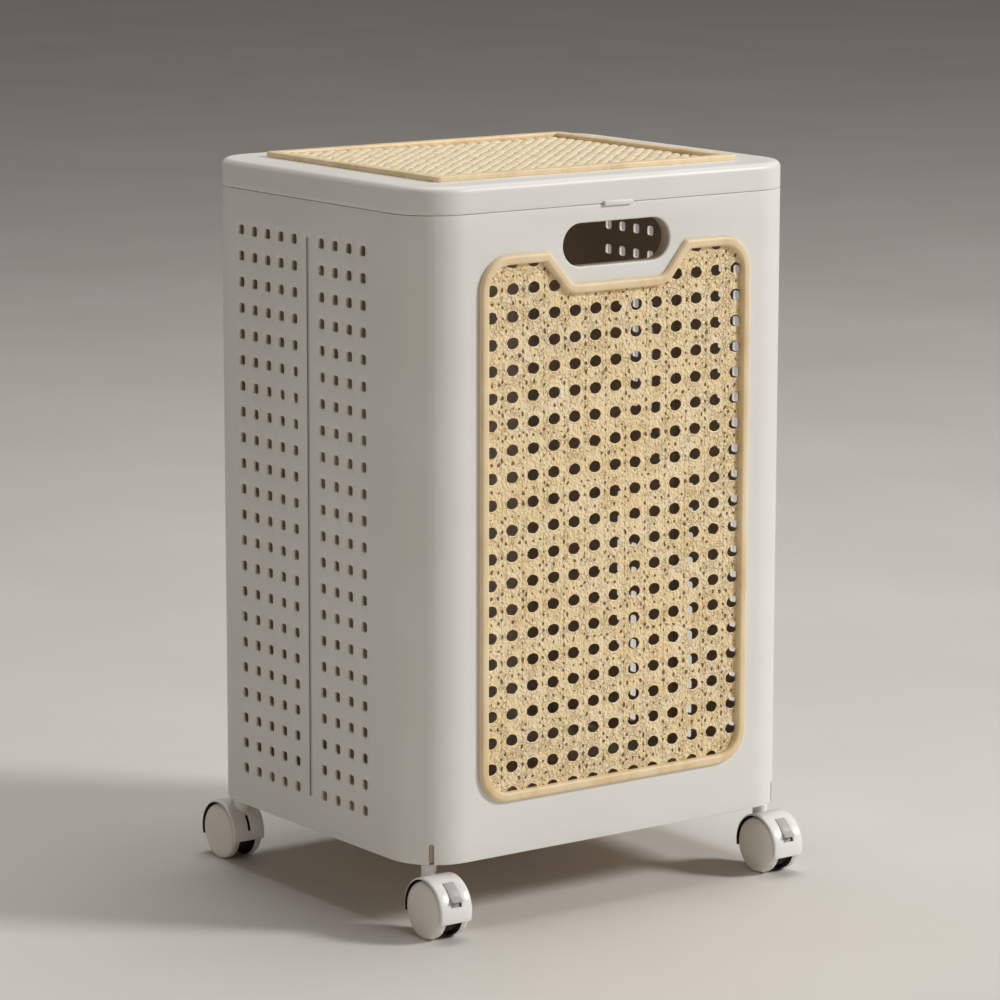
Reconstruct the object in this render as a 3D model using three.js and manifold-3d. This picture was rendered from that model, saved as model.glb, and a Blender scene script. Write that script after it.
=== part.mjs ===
// Laundry sorter on wheels: a tall moulded box with a woven front panel, a hinged lid with a woven
// inset, and four swivelling twin-wheel casters with brake levers.
// Millimetres, +Z up, -Y is the front. The floor is z = 0, under the middle of the object's own box.
import * as THREE from 'three';
import { mergeVertices } from 'three/addons/utils/BufferGeometryUtils.js';
import Module from 'manifold-3d';

const wasm = await Module();
wasm.setup();

// Body shell
const bodyWidth = 400;
const bodyDepth = 330;
const bodyHeight = 543;
const cornerRadius = 45;
const wall = 2.5;
const groundClearance = 61;
const rimBandHeight = 8;
const rimBandWidth = 2.5;
const ledgeHeight = 12;
const ledgeThickness = 3;
const ledgeReach = 5;
const ledgeCornerCut = 62;
const gap = 0.3;

// Side vents: rows of square holes in two blocks, with a shallow groove between the blocks
const ventSize = 8.5;
const ventRows = 22;
const ventRowPitch = 22.6;
const ventTop = 508.4;
const ventColumnPitch = 20.5;
const ventRearColumn = 103.4;
const ventColumns = 10;
const grooveColumn = 5;
const grooveWidth = 5;
const grooveDepth = 1;

// Hand holes in the front and back walls
const handleWidth = 112;
const handleHeight = 36;
const handleCentre = 510.3;
const handleCollarWall = 2.5;
const handleCollarDepth = 12;

// Slots at the bottom corners
const slotWidth = 4.5;
const slotHeight = 22;
const slotAngle = 51;

// Front frame and its woven panel
const frameHalfWidth = 142;
const frameBottom = 46.3;
const frameTop = 507.6;
const frameCornerRadius = 29;
const notchTopHalfWidth = 72;
const notchBottomHalfWidth = 48;
const notchBottom = 478.8;
const notchTopRadius = 5;
const notchBottomRadius = 13;
const frameBar = 8.4;
const frameProud = 4;
const frameBevel = 1.8;
const windowInset = 5.5;
const spigotDepth = 1.2;
const caneThickness = 1.6;

// Lid
const seam = 0.4;
const lidHeight = 23;
const lidEdgeRadius = 6;
const lidPlate = 2.6;
const insetWidth = 318;
const insetDepth = 258;
const insetCornerRadius = 6;
const insetBar = 11;
const insetProud = 4.5;
const pocketDepth = 4.5;
const pocketFloor = 2.5;
const lidCaneThickness = 2.2;
const tabWidth = 30;
const tabHeight = 4;
const tabProud = 2.7;
const tabDrop = 2;

// Hinges
const hingeX = 110;
const hingeStandOff = 5.6;
const knuckleRadius = 5;
const pinRadius = 2;
const pinClearance = 0.08;
const knuckleWidth = 12;
const lidKnuckleWidth = 25;
const pinLength = 49;
const pinSides = 12;

// Base tray
const trayThickness = 3;
const trayFlange = 14;
const trayFlangeWall = 2.5;
const bossRadius = 8;
const bossClearance = 1.5;
const socketRadius = 5;

// Casters
const stemX = 179;
const stemY = 145;
const stemRadius = 4;
const stemSides = 12;
const stemBottom = 40;
const stemTop = 77.6;
const grooveBottom = 68;
const grooveTop = 74;
const stemGrooveRadius = 3.4;
const gripInner = 3.7;
const gripOuter = 4.7;
const trail = 13.5;
const wheelRadius = 24.5;
const wheelInnerX = 7.9;
const wheelWidth = 8.1;
const wheelDome = 1.3;
const axleRadius = 2.5;
const axleHalfLength = 14;
const axleClearance = 0.08;
const axleSides = 16;
const wheelSides = 22;
const hoodHalfWidth = 16;
const hoodInner = 25.8;
const hoodWall = 1.6;
const hoodLift = 0.7;
const hoodSteps = 8;
const hoodFrontDrop = 17;
const hoodBackDrop = 12;
const neckRadius = 6.5;
const neckTop = 60.4;
const neckBottom = 41;
const coreRadius = 20.5;
const coreHalfWidth = 7.4;
const leverHalfWidth = 5.2;
const leverGap = 0.5;
const leverLow = 20;
const leverHoleLow = 12;
const leverHigh = 60;
const leverProud = 0.8;
const toeReach = 3.4;
const toeAngle = 8;
const pivotRadius = 1.7;
const pivotAngle = 63;
const pivotDepth = 22.6;
const slitHalfWidth = 1.6;
const slitLow = 8;
const slitHigh = 38;

const arcSteps = 3;
const frameSteps = 2;
const tightestCorner = 1.5;
const whitePlastic = { color: 0xe9e6e0, roughness: 0.35, metalness: 0 };
const straw = { color: 0xd9bd88, roughness: 0.6, metalness: 0 };
const darkPlastic = { color: 0x1c1b1a, roughness: 0.6, metalness: 0 };
const greyPlastic = { color: 0xb9b8b4, roughness: 0.45, metalness: 0 };
const steel = { color: 0xb8babd, roughness: 0.3, metalness: 1 };

const alongX = new THREE.Matrix4().makeBasis(
  new THREE.Vector3(0, 1, 0),
  new THREE.Vector3(0, 0, 1),
  new THREE.Vector3(1, 0, 0)
);

// A closed three.js geometry becomes a solid that can be joined and cut
function solid(geometry) {
  const plain = geometry.clone();
  plain.deleteAttribute('normal');
  plain.deleteAttribute('uv');
  const merged = mergeVertices(plain, 1e-4);
  const corners = Array.from(merged.index.array);
  const triangles = [];
  for (let i = 0; i < corners.length; i += 3) {
    const [a, b, c] = corners.slice(i, i + 3);
    if (a !== b && b !== c && c !== a) triangles.push(a, b, c);
  }
  const mesh = new wasm.Mesh({
    numProp: 3,
    vertProperties: merged.attributes.position.array,
    triVerts: Uint32Array.from(triangles)
  });
  return new wasm.Manifold(mesh);
}

function geometryOf(manifold) {
  const mesh = manifold.getMesh();
  const geometry = new THREE.BufferGeometry();
  geometry.setAttribute('position', new THREE.BufferAttribute(mesh.vertProperties, 3));
  geometry.setIndex(new THREE.BufferAttribute(mesh.triVerts, 1));
  return geometry;
}

function piece(name, geometry, look) {
  const mesh = new THREE.Mesh(geometry, new THREE.MeshStandardMaterial(look));
  mesh.name = name;
  return mesh;
}

// An outline with rounded corners; each corner is [x, y, radius], anticlockwise
function outline(corners) {
  const shape = new THREE.Shape();
  corners.forEach(([x, y, radius], i) => {
    const [beforeX, beforeY] = corners.at(i - 1);
    const [afterX, afterY] = corners[(i + 1) % corners.length];
    const point = new THREE.Vector2(x, y);
    const before = new THREE.Vector2(beforeX - x, beforeY - y).normalize();
    const after = new THREE.Vector2(afterX - x, afterY - y).normalize();
    const half = Math.acos(before.dot(after)) / 2;
    const middle = before.clone().add(after).normalize();
    const centre = point.clone().addScaledVector(middle, radius / Math.sin(half));
    const start = point.clone().addScaledVector(before, radius / Math.tan(half)).sub(centre);
    const end = point.clone().addScaledVector(after, radius / Math.tan(half)).sub(centre);
    const clockwise = before.cross(after) > 0;
    shape.absarc(centre.x, centre.y, radius, start.angle(), end.angle(), clockwise);
  });
  shape.closePath();
  return shape;
}

// The same corners with every side moved inwards
function inset(corners, distance) {
  return corners.map(([x, y, radius], i) => {
    const [beforeX, beforeY] = corners.at(i - 1);
    const [afterX, afterY] = corners[(i + 1) % corners.length];
    const into = new THREE.Vector2(x - beforeX, y - beforeY).normalize();
    const away = new THREE.Vector2(afterX - x, afterY - y).normalize();
    const reach = distance / (1 + into.dot(away));
    const concave = into.cross(away) < 0;
    return [
      x - (into.y + away.y) * reach,
      y + (into.x + away.x) * reach,
      concave ? radius + distance : Math.max(radius - distance, tightestCorner)
    ];
  });
}

function rectangle(width, height, radius) {
  const x = width / 2;
  const y = height / 2;
  return [[-x, -y, radius], [x, -y, radius], [x, y, radius], [-x, y, radius]];
}

// A prism on the floor plan, from one height to another
function upright(shapes, low, high, steps = arcSteps) {
  const settings = { depth: high - low, bevelEnabled: false, curveSegments: steps };
  return new THREE.ExtrudeGeometry(shapes, settings).translate(0, 0, low);
}

// A prism whose section is drawn as x and z, from a front y to a back y
function throughWall(shapes, front, back, steps = arcSteps) {
  const settings = { depth: back - front, bevelEnabled: false, curveSegments: steps };
  return new THREE.ExtrudeGeometry(shapes, settings).rotateX(Math.PI / 2).translate(0, back, 0);
}

// A prism whose section is drawn as y and z, from a left x to a right x
function acrossWidth(shapes, left, right, steps = arcSteps) {
  const settings = { depth: right - left, bevelEnabled: false, curveSegments: steps };
  return new THREE.ExtrudeGeometry(shapes, settings).applyMatrix4(alongX).translate(left, 0, 0);
}

function block(left, right, front, back, low, high) {
  const box = new THREE.BoxGeometry(right - left, back - front, high - low);
  return box.translate((left + right) / 2, (front + back) / 2, (low + high) / 2);
}

function rodX(radius, left, right, sides) {
  const rod = new THREE.CylinderGeometry(radius, radius, right - left, sides);
  return rod.rotateZ(Math.PI / 2).translate((left + right) / 2, 0, 0);
}

function rodZ(radius, low, high, sides) {
  const rod = new THREE.CylinderGeometry(radius, radius, high - low, sides);
  return rod.rotateX(Math.PI / 2).translate(0, 0, (low + high) / 2);
}

// The corner radius of a bore whose flats clear a round pin
function boreRadius(radius, clearance, sides) {
  return (radius + clearance) / Math.cos(Math.PI / sides);
}

const plan = rectangle(bodyWidth, bodyDepth, cornerRadius);
const frontFace = -bodyDepth / 2;
const backFace = bodyDepth / 2;
const hingeY = backFace + hingeStandOff;
const frameCorners = [
  [-frameHalfWidth, frameBottom, frameCornerRadius],
  [frameHalfWidth, frameBottom, frameCornerRadius],
  [frameHalfWidth, frameTop, frameCornerRadius],
  [notchTopHalfWidth, frameTop, notchTopRadius],
  [notchBottomHalfWidth, notchBottom, notchBottomRadius],
  [-notchBottomHalfWidth, notchBottom, notchBottomRadius],
  [-notchTopHalfWidth, frameTop, notchTopRadius],
  [-frameHalfWidth, frameTop, frameCornerRadius]
];

function planPrism(distance, low, high) {
  return solid(upright(outline(inset(plan, distance)), low, high));
}

function stadium(extra) {
  const width = handleWidth + 2 * extra;
  const height = handleHeight + 2 * extra;
  const corners = rectangle(width, height, height / 2 - 0.01);
  return outline(corners.map(([x, y, radius]) => [x, y + handleCentre, radius]));
}

function vents() {
  const holes = [];
  const half = ventSize / 2;
  for (let column = 0; column < ventColumns; column += 1) {
    if (column === grooveColumn) continue;
    const y = ventRearColumn - column * ventColumnPitch;
    for (let row = 0; row < ventRows; row += 1) {
      const z = ventTop - row * ventRowPitch;
      const hole = new THREE.Shape();
      hole.moveTo(y - half, z - half);
      hole.lineTo(y + half, z - half);
      hole.lineTo(y + half, z + half);
      hole.lineTo(y - half, z + half);
      hole.closePath();
      holes.push(hole);
    }
  }
  return solid(acrossWidth(holes, -bodyWidth, bodyWidth));
}

// One knuckle of a hinge, with the web that joins it to the wall beside it
function knuckle(left, right, webLow, webHigh) {
  const barrel = solid(rodX(knuckleRadius, left, right, pinSides).translate(0, hingeY, 0));
  const web = solid(block(left, right, backFace - 1, hingeY, webLow, webHigh));
  return barrel.add(web);
}

function hingeBores() {
  const radius = boreRadius(pinRadius, pinClearance, pinSides);
  return solid(rodX(radius, -bodyWidth / 2, bodyWidth / 2, pinSides).translate(0, hingeY, 0));
}

function bodyShell() {
  let shell = planPrism(0, 0, bodyHeight).subtract(planPrism(wall, -1, bodyHeight + 1));
  const rim = planPrism(wall / 2, bodyHeight - rimBandHeight, bodyHeight);
  shell = shell.add(rim.subtract(planPrism(wall + rimBandWidth, -1, bodyHeight + 1)));
  let ledge = planPrism(wall / 2, ledgeHeight, ledgeHeight + ledgeThickness);
  ledge = ledge.subtract(planPrism(wall + ledgeReach, -1, bodyHeight));
  for (const sideX of [-1, 1]) {
    for (const sideY of [-1, 1]) {
      const x = (sideX * bodyWidth) / 2;
      const y = (sideY * bodyDepth) / 2;
      const corner = new THREE.BoxGeometry(2 * ledgeCornerCut, 2 * ledgeCornerCut, bodyHeight);
      ledge = ledge.subtract(solid(corner.translate(x, y, 0)));
    }
  }
  shell = shell.add(ledge);
  for (const [front, back] of [[frontFace + 1, frontFace + handleCollarDepth],
    [backFace - handleCollarDepth, backFace - 1]]) {
    shell = shell.add(solid(throughWall(stadium(handleCollarWall), front, back)));
  }
  shell = shell.subtract(solid(throughWall(stadium(0), -bodyDepth, bodyDepth)));
  shell = shell.subtract(vents());

  const grooveY = ventRearColumn - grooveColumn * ventColumnPitch;
  const grooveLow = ventTop - (ventRows - 1) * ventRowPitch - ventSize / 2;
  for (const side of [-1, 1]) {
    const near = side * (bodyWidth / 2 - grooveDepth);
    const far = side * (bodyWidth / 2 + 1);
    const groove = block(Math.min(near, far), Math.max(near, far), grooveY - grooveWidth / 2,
      grooveY + grooveWidth / 2, grooveLow, ventTop + ventSize / 2);
    shell = shell.subtract(solid(groove));
  }

  const windowShape = outline(inset(frameCorners, windowInset));
  shell = shell.subtract(solid(throughWall(windowShape, frontFace - 5, frontFace + 5)));

  for (const sideX of [-1, 1]) {
    for (const sideY of [-1, 1]) {
      const slot = new THREE.BoxGeometry(16, slotWidth, 2 * slotHeight);
      const turned = slot.translate(cornerRadius, 0, 0).rotateZ(THREE.MathUtils.degToRad(slotAngle));
      const placed = solid(turned).scale([sideX, sideY, 1]).translate([
        sideX * (bodyWidth / 2 - cornerRadius), sideY * (bodyDepth / 2 - cornerRadius), 0]);
      shell = shell.subtract(placed);
    }
  }

  for (const side of [-1, 1]) {
    for (const end of [-1, 1]) {
      const middle = side * hingeX + (end * (lidKnuckleWidth + knuckleWidth)) / 2 + end * 0.2;
      const left = middle - knuckleWidth / 2 + 0.2;
      const right = middle + knuckleWidth / 2 - 0.2;
      const shellKnuckle = knuckle(left, right, -knuckleRadius, -seam).translate([0, 0, bodyHeight]);
      shell = shell.add(shellKnuckle);
    }
  }
  return shell.subtract(hingeBores().translate([0, 0, bodyHeight]));
}

function baseTray() {
  const low = ledgeHeight + ledgeThickness + gap;
  const plate = planPrism(wall + gap, low, low + trayThickness);
  const flange = planPrism(wall + gap, low, low + trayFlange);
  const flangeInside = planPrism(wall + gap + trayFlangeWall, low - 1, low + trayFlange + 1);
  let tray = plate.add(flange.subtract(flangeInside));
  const limit = planPrism(wall + gap, 0, bodyHeight);
  for (const sideX of [-1, 1]) {
    for (const sideY of [-1, 1]) {
      const place = [sideX * stemX, sideY * stemY, 0];
      const boss = solid(rodZ(bossRadius, bossClearance, low + trayThickness, 20)).translate(place);
      tray = tray.add(boss.intersect(limit));
      const socket = rodZ(socketRadius, -1, low + trayThickness - 1.2, stemSides);
      tray = tray.subtract(solid(socket).translate(place));
    }
  }
  return tray;
}

// A flat ring between two outlines, with bevelled edges on the face that shows
function bevelledRing(corners, bar, thickness, bevel) {
  const ring = outline(inset(corners, bevel));
  ring.holes.push(outline(inset(corners, bar - bevel)));
  const settings = {
    depth: 2 * (thickness - bevel),
    bevelEnabled: true,
    bevelSize: bevel,
    bevelThickness: bevel,
    bevelSegments: 1,
    curveSegments: frameSteps
  };
  return new THREE.ExtrudeGeometry(ring, settings).translate(0, 0, -(thickness - bevel));
}

function frontFrame() {
  const ring = bevelledRing(frameCorners, frameBar, frameProud, frameBevel).rotateX(Math.PI / 2);
  const behind = block(-bodyWidth, bodyWidth, 0, bodyDepth, -bodyHeight, 2 * bodyHeight);
  const bezel = solid(ring).subtract(solid(behind)).translate([0, frontFace - gap, 0]);
  const spigotShape = outline(inset(frameCorners, windowInset + gap));
  spigotShape.holes.push(outline(inset(frameCorners, frameBar)));
  const spigotFront = frontFace - gap - 1;
  const spigot = solid(throughWall(spigotShape, spigotFront, frontFace + spigotDepth, frameSteps));
  return bezel.add(spigot);
}

function frontCane() {
  const front = frontFace + spigotDepth + gap;
  const shape = outline(inset(frameCorners, windowInset + gap));
  return throughWall(shape, front, front + caneThickness);
}

function lidShell() {
  const edge = lidEdgeRadius;
  const settings = {
    depth: 2 * (lidHeight - edge),
    bevelEnabled: true,
    bevelSize: edge,
    bevelThickness: edge,
    bevelSegments: 3,
    curveSegments: arcSteps
  };
  const rounded = new THREE.ExtrudeGeometry(outline(inset(plan, edge)), settings);
  let lid = solid(rounded.translate(0, 0, -(lidHeight - edge)));
  lid = lid.intersect(planPrism(-1, 0, lidHeight + 1));
  lid = lid.subtract(planPrism(wall, -1, lidHeight - lidPlate));
  const pocketLow = lidHeight - pocketDepth;
  const trayPlan = rectangle(insetWidth + 2 * (gap + wall), insetDepth + 2 * (gap + wall),
    insetCornerRadius + gap + wall);
  const pocketPlan = rectangle(insetWidth + 2 * gap, insetDepth + 2 * gap, insetCornerRadius + gap);
  lid = lid.add(solid(upright(outline(trayPlan), pocketLow - pocketFloor, lidHeight - 1)));
  lid = lid.subtract(solid(upright(outline(pocketPlan), pocketLow, lidHeight + 5)));

  const tabFront = frontFace - tabProud;
  const half = tabWidth / 2;
  const face = solid(block(-half, half, tabFront, frontFace - gap, -tabDrop, tabHeight - tabDrop));
  const root = solid(block(-half, half, frontFace - 1, frontFace + 1, 0, tabHeight - tabDrop));
  lid = lid.add(face).add(root);

  for (const side of [-1, 1]) {
    const left = side * hingeX - lidKnuckleWidth / 2;
    const right = side * hingeX + lidKnuckleWidth / 2;
    lid = lid.add(knuckle(left, right, seam, knuckleRadius).translate([0, 0, -seam]));
  }
  return lid.subtract(hingeBores().translate([0, 0, -seam]));
}

function lidFrame() {
  const thickness = pocketDepth + insetProud - gap;
  const corners = rectangle(insetWidth, insetDepth, insetCornerRadius);
  const ring = solid(bevelledRing(corners, insetBar, thickness, 1));
  const under = block(-bodyWidth, bodyWidth, -bodyDepth, bodyDepth, -bodyHeight, 0);
  return ring.subtract(solid(under)).translate([0, 0, lidHeight - pocketDepth + gap]);
}

function lidCane() {
  const width = insetWidth - 2 * (insetBar + gap);
  const depth = insetDepth - 2 * (insetBar + gap);
  const low = lidHeight - pocketDepth + gap;
  return upright(outline(rectangle(width, depth, 1)), low, low + lidCaneThickness, 1);
}

// Caster pieces: the stem's axis is x = y = 0 and the wheels trail towards -y
const hoodCentre = new THREE.Vector2(-trail, wheelRadius + hoodLift);

// A point on a caster, by its distance from the hood's centre and its angle above level at the front
function onHood(radius, degrees) {
  const angle = THREE.MathUtils.degToRad(180 - degrees);
  return new THREE.Vector2(Math.cos(angle), Math.sin(angle)).multiplyScalar(radius).add(hoodCentre);
}

// A band round the hood's centre between two radii, from one angle to a greater one
function band(inner, outer, low, high) {
  const from = THREE.MathUtils.degToRad(180 - low);
  const to = THREE.MathUtils.degToRad(180 - high);
  const shape = new THREE.Shape();
  shape.absarc(hoodCentre.x, hoodCentre.y, outer, to, from, false);
  shape.absarc(hoodCentre.x, hoodCentre.y, inner, from, to, true);
  shape.closePath();
  return shape;
}

function casterHood() {
  const outer = hoodInner + hoodWall;
  const wrap = band(hoodInner, outer, -hoodFrontDrop, 180 + hoodBackDrop);
  let hood = solid(acrossWidth(wrap, -hoodHalfWidth, hoodHalfWidth, hoodSteps));
  const neck = solid(rodZ(neckRadius, neckBottom, neckTop, 20));
  const bore = solid(rodZ(boreRadius(stemRadius, 0.1, stemSides), 0, neckTop + 1, stemSides));
  hood = hood.add(neck).subtract(bore);
  const half = leverHalfWidth + leverGap;
  const leverHole = band(hoodInner - 2, outer + 5, leverHoleLow, leverHigh + 1.5);
  hood = hood.subtract(solid(acrossWidth(leverHole, -half, half, 3)));
  const slit = band(hoodInner - 2, outer + 2, 180 - slitHigh, 180 - slitLow);
  return hood.subtract(solid(acrossWidth(slit, -slitHalfWidth, slitHalfWidth, 2)));
}

function casterCore() {
  let core = solid(rodX(coreRadius, -coreHalfWidth, coreHalfWidth, 24));
  core = core.translate([0, -trail, wheelRadius]);
  const bore = rodX(boreRadius(axleRadius, gap, axleSides), -20, 20, axleSides);
  core = core.subtract(solid(bore.translate(0, -trail, wheelRadius)));
  return core.subtract(solid(rodZ(neckRadius + gap + 0.2, stemBottom - 2, neckTop, 20)));
}

function casterStem() {
  const profile = [
    [0, stemBottom], [stemRadius, stemBottom], [stemRadius, grooveBottom],
    [stemGrooveRadius, grooveBottom], [stemGrooveRadius, grooveTop], [stemRadius, grooveTop],
    [stemRadius, stemTop - 1], [stemRadius - 1, stemTop], [0, stemTop]
  ];
  return lathe(profile, stemSides);
}

function gripRing() {
  const low = grooveBottom + gap;
  const high = grooveTop - gap;
  return lathe([[gripInner, low], [gripOuter, low], [gripOuter, high], [gripInner, high],
    [gripInner, low]], stemSides);
}

// A turned solid about z; the profile is [radius, height] from low to high
function lathe(profile, sides) {
  const points = profile.map(([radius, height]) => new THREE.Vector2(radius, height));
  return new THREE.LatheGeometry(points, sides).rotateX(Math.PI / 2);
}

function casterAxle() {
  return rodX(axleRadius, -axleHalfLength, axleHalfLength, axleSides);
}

// A wheel about z, its inner face on z = 0 and its domed outer face at the top
function casterWheel() {
  const bore = boreRadius(axleRadius, axleClearance, axleSides);
  const boreEnd = axleHalfLength - wheelInnerX + gap;
  const turned = lathe([
    [0, 0], [wheelRadius - 1, 0], [wheelRadius, 1],
    [wheelRadius, wheelWidth - 1.6], [wheelRadius - 0.6, wheelWidth - 0.5],
    [wheelRadius - 1.8, wheelWidth], [wheelRadius * 0.6, wheelWidth + wheelDome * 0.7],
    [0, wheelWidth + wheelDome]
  ], wheelSides);
  return solid(turned).subtract(solid(rodZ(bore, -1, boreEnd, axleSides)));
}

function brakeLever() {
  const outer = hoodInner + hoodWall + leverProud;
  const pad = band(hoodInner, outer, leverLow, leverHigh);
  let lever = solid(acrossWidth(pad, -leverHalfWidth, leverHalfWidth, 3));
  const toe = band(outer - 1, outer + toeReach, leverLow, leverLow + toeAngle);
  lever = lever.add(solid(acrossWidth(toe, -leverHalfWidth, leverHalfWidth, 1)));
  const pivot = onHood(pivotDepth, pivotAngle);
  const barrel = rodX(pivotRadius, -leverHalfWidth, leverHalfWidth, 12).translate(0, pivot.x, pivot.y);
  const web = band(pivotDepth - 1, hoodInner + 0.5, leverHigh - 7, leverHigh - 1);
  return lever.add(solid(barrel)).add(solid(acrossWidth(web, -leverHalfWidth, leverHalfWidth, 1)));
}

const hoodGeometry = geometryOf(casterHood());
const coreGeometry = geometryOf(casterCore());
const wheelGeometry = geometryOf(casterWheel());
const leverGeometry = geometryOf(brakeLever());

function caster(place, sideX, sideY) {
  const group = new THREE.Group();
  group.position.set(sideX * stemX, sideY * stemY, 0);
  group.rotation.z = sideY > 0 ? Math.PI : 0;
  group.add(piece(`caster_hood_${place}`, hoodGeometry, whitePlastic));
  group.add(piece(`caster_core_${place}`, coreGeometry, darkPlastic));
  group.add(piece(`caster_stem_${place}`, casterStem(), steel));
  group.add(piece(`grip_ring_${place}`, gripRing(), steel));
  group.add(piece(`brake_lever_${place}`, leverGeometry, greyPlastic));
  const axle = piece(`wheel_axle_${place}`, casterAxle(), steel);
  axle.position.set(0, -trail, wheelRadius);
  group.add(axle);
  for (const [side, hand] of [[-1, 'a'], [1, 'b']]) {
    const wheel = piece(`wheel_${place}_${hand}`, wheelGeometry, whitePlastic);
    wheel.position.set(side * wheelInnerX, -trail, wheelRadius);
    wheel.rotation.y = (side * Math.PI) / 2;
    group.add(wheel);
  }
  return group;
}

const sorter = new THREE.Group();

const body = new THREE.Group();
body.position.z = groundClearance;
body.add(piece('body_shell', geometryOf(bodyShell()), whitePlastic));
body.add(piece('base_tray', geometryOf(baseTray()), whitePlastic));
body.add(piece('front_frame', geometryOf(frontFrame()), straw));
body.add(piece('front_cane', frontCane(), straw));
sorter.add(body);

const lid = new THREE.Group();
lid.position.z = groundClearance + bodyHeight + seam;
lid.add(piece('lid_shell', geometryOf(lidShell()), whitePlastic));
lid.add(piece('lid_frame', geometryOf(lidFrame()), straw));
lid.add(piece('lid_cane', lidCane(), straw));
sorter.add(lid);

for (const [side, name] of [[-1, 'left'], [1, 'right']]) {
  const pin = rodX(pinRadius, -pinLength / 2, pinLength / 2, pinSides);
  const hingePin = piece(`hinge_pin_${name}`, pin, steel);
  hingePin.position.set(side * hingeX, hingeY, groundClearance + bodyHeight);
  sorter.add(hingePin);
}

sorter.add(caster('front_left', -1, -1));
sorter.add(caster('front_right', 1, -1));
sorter.add(caster('rear_left', -1, 1));
sorter.add(caster('rear_right', 1, 1));

export default sorter;
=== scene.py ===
import math

import bmesh
import bpy
import numpy as np
from mathutils import Matrix, Vector
from mathutils.geometry import tessellate_polygon


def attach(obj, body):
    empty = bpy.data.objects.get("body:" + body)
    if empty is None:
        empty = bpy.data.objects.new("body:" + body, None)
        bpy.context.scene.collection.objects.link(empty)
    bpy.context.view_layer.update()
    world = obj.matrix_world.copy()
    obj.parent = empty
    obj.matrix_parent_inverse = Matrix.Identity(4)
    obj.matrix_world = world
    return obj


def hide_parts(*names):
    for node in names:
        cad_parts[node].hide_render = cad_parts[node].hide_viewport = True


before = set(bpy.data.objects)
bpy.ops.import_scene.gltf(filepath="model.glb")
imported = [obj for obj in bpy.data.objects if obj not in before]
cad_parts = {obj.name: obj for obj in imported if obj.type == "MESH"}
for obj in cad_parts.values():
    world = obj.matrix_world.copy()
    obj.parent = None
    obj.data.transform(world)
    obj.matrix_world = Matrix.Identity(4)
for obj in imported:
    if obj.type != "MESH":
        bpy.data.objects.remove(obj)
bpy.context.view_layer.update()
scene = bpy.context.scene
print("frame loaded:", len(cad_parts), "nodes")


# The body's main sizes, in millimetres

body = dict(
    halfWidth=200.0, halfDepth=165.0, low=61.0, high=604.0, corner=45.0, wall=2.5,
    rimWall=5.0, rimLow=595.5, edge=0.6, lipEdge=0.5)
flatX = body["halfWidth"] - body["corner"]
flatY = body["halfDepth"] - body["corner"]
innerShadeFrom = 1.2  # how deep in the walls the painted inner shade, warmer and darker, starts
# painted shade along the side grooves' edges: where it lies, how strong, and its colour
paintedGrooveShade = dict(
    y=0.9, half=2.4, depth=(196.5, 197.2), mouth=(199.1, 199.7), shade=0.75, tone=(92, 82, 72))


# Nodes: one way to add them, for materials and for Geometry Nodes

class Wire:
    # one output of a node; a sum written with wires adds its Math nodes
    def __init__(self, nodes, socket):
        self.nodes = nodes
        self.socket = socket

    def sum(self, operation, first, second=0.0):
        return self.nodes.node("ShaderNodeMath", {"operation": operation}, {0: first, 1: second})

    def __add__(self, other):
        return self.sum("ADD", self, other)

    def __radd__(self, other):
        return self.sum("ADD", other, self)

    def __sub__(self, other):
        return self.sum("SUBTRACT", self, other)

    def __rsub__(self, other):
        return self.sum("SUBTRACT", other, self)

    def __mul__(self, other):
        return self.sum("MULTIPLY", self, other)

    def __rmul__(self, other):
        return self.sum("MULTIPLY", other, self)

    def __truediv__(self, other):
        return self.sum("DIVIDE", self, other)

    def __pow__(self, other):
        return self.sum("POWER", self, other)

    def __abs__(self):
        return self.sum("ABSOLUTE", self)

    def greatest(self, other):
        return self.sum("MAXIMUM", self, other)

    def least(self, other):
        return self.sum("MINIMUM", self, other)

    def fromMiddle(self):
        # how far past the nearest whole number, from -0.5 to 0.5
        return self.sum("FRACT", self + 0.5) - 0.5


class Nodes:
    def __init__(self, tree):
        self.tree = tree

    def node(self, kind, settings=(), values=(), output=0):
        # settings are set first, then each socket is given a value or joined to a wire
        made = self.tree.nodes.new(kind)
        settings = dict(settings)
        stops = settings.pop("stops", ())
        for name, value in settings.items():
            setattr(made, name, value)
        if stops:
            ramp = made.color_ramp.elements
            while len(ramp) < len(stops):
                ramp.new(1.0)
            for element, (position, colour) in zip(ramp, stops):
                element.position, element.color = position, colour
        for name, value in dict(values).items():
            if isinstance(value, Wire):
                self.tree.links.new(value.socket, made.inputs[name])
            else:
                made.inputs[name].default_value = value
        return Wire(self, made.outputs[output])


class Growth(Nodes):
    # a Geometry Nodes tree with named inputs, which ends in real faces and their material
    def __init__(self, name, inputs):
        super().__init__(bpy.data.node_groups.new(name, "GeometryNodeTree"))
        socket = self.tree.interface.new_socket
        for title, kind in inputs.items():
            socket(name=title, in_out="INPUT", socket_type="NodeSocket" + kind)
        socket(name="Geometry", in_out="OUTPUT", socket_type="NodeSocketGeometry")
        outside = self.tree.nodes.new("NodeGroupInput").outputs
        self.given = {title: Wire(self, outside[title]) for title in inputs}

    def ended(self, geometry):
        real = self.node("GeometryNodeRealizeInstances", (), {0: geometry})
        painted = self.node("GeometryNodeSetMaterial", (),
                            {"Geometry": real, "Material": self.given["Finish"]})
        self.tree.links.new(painted.socket, self.tree.nodes.new("NodeGroupOutput").inputs[0])
        return self.tree


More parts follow.
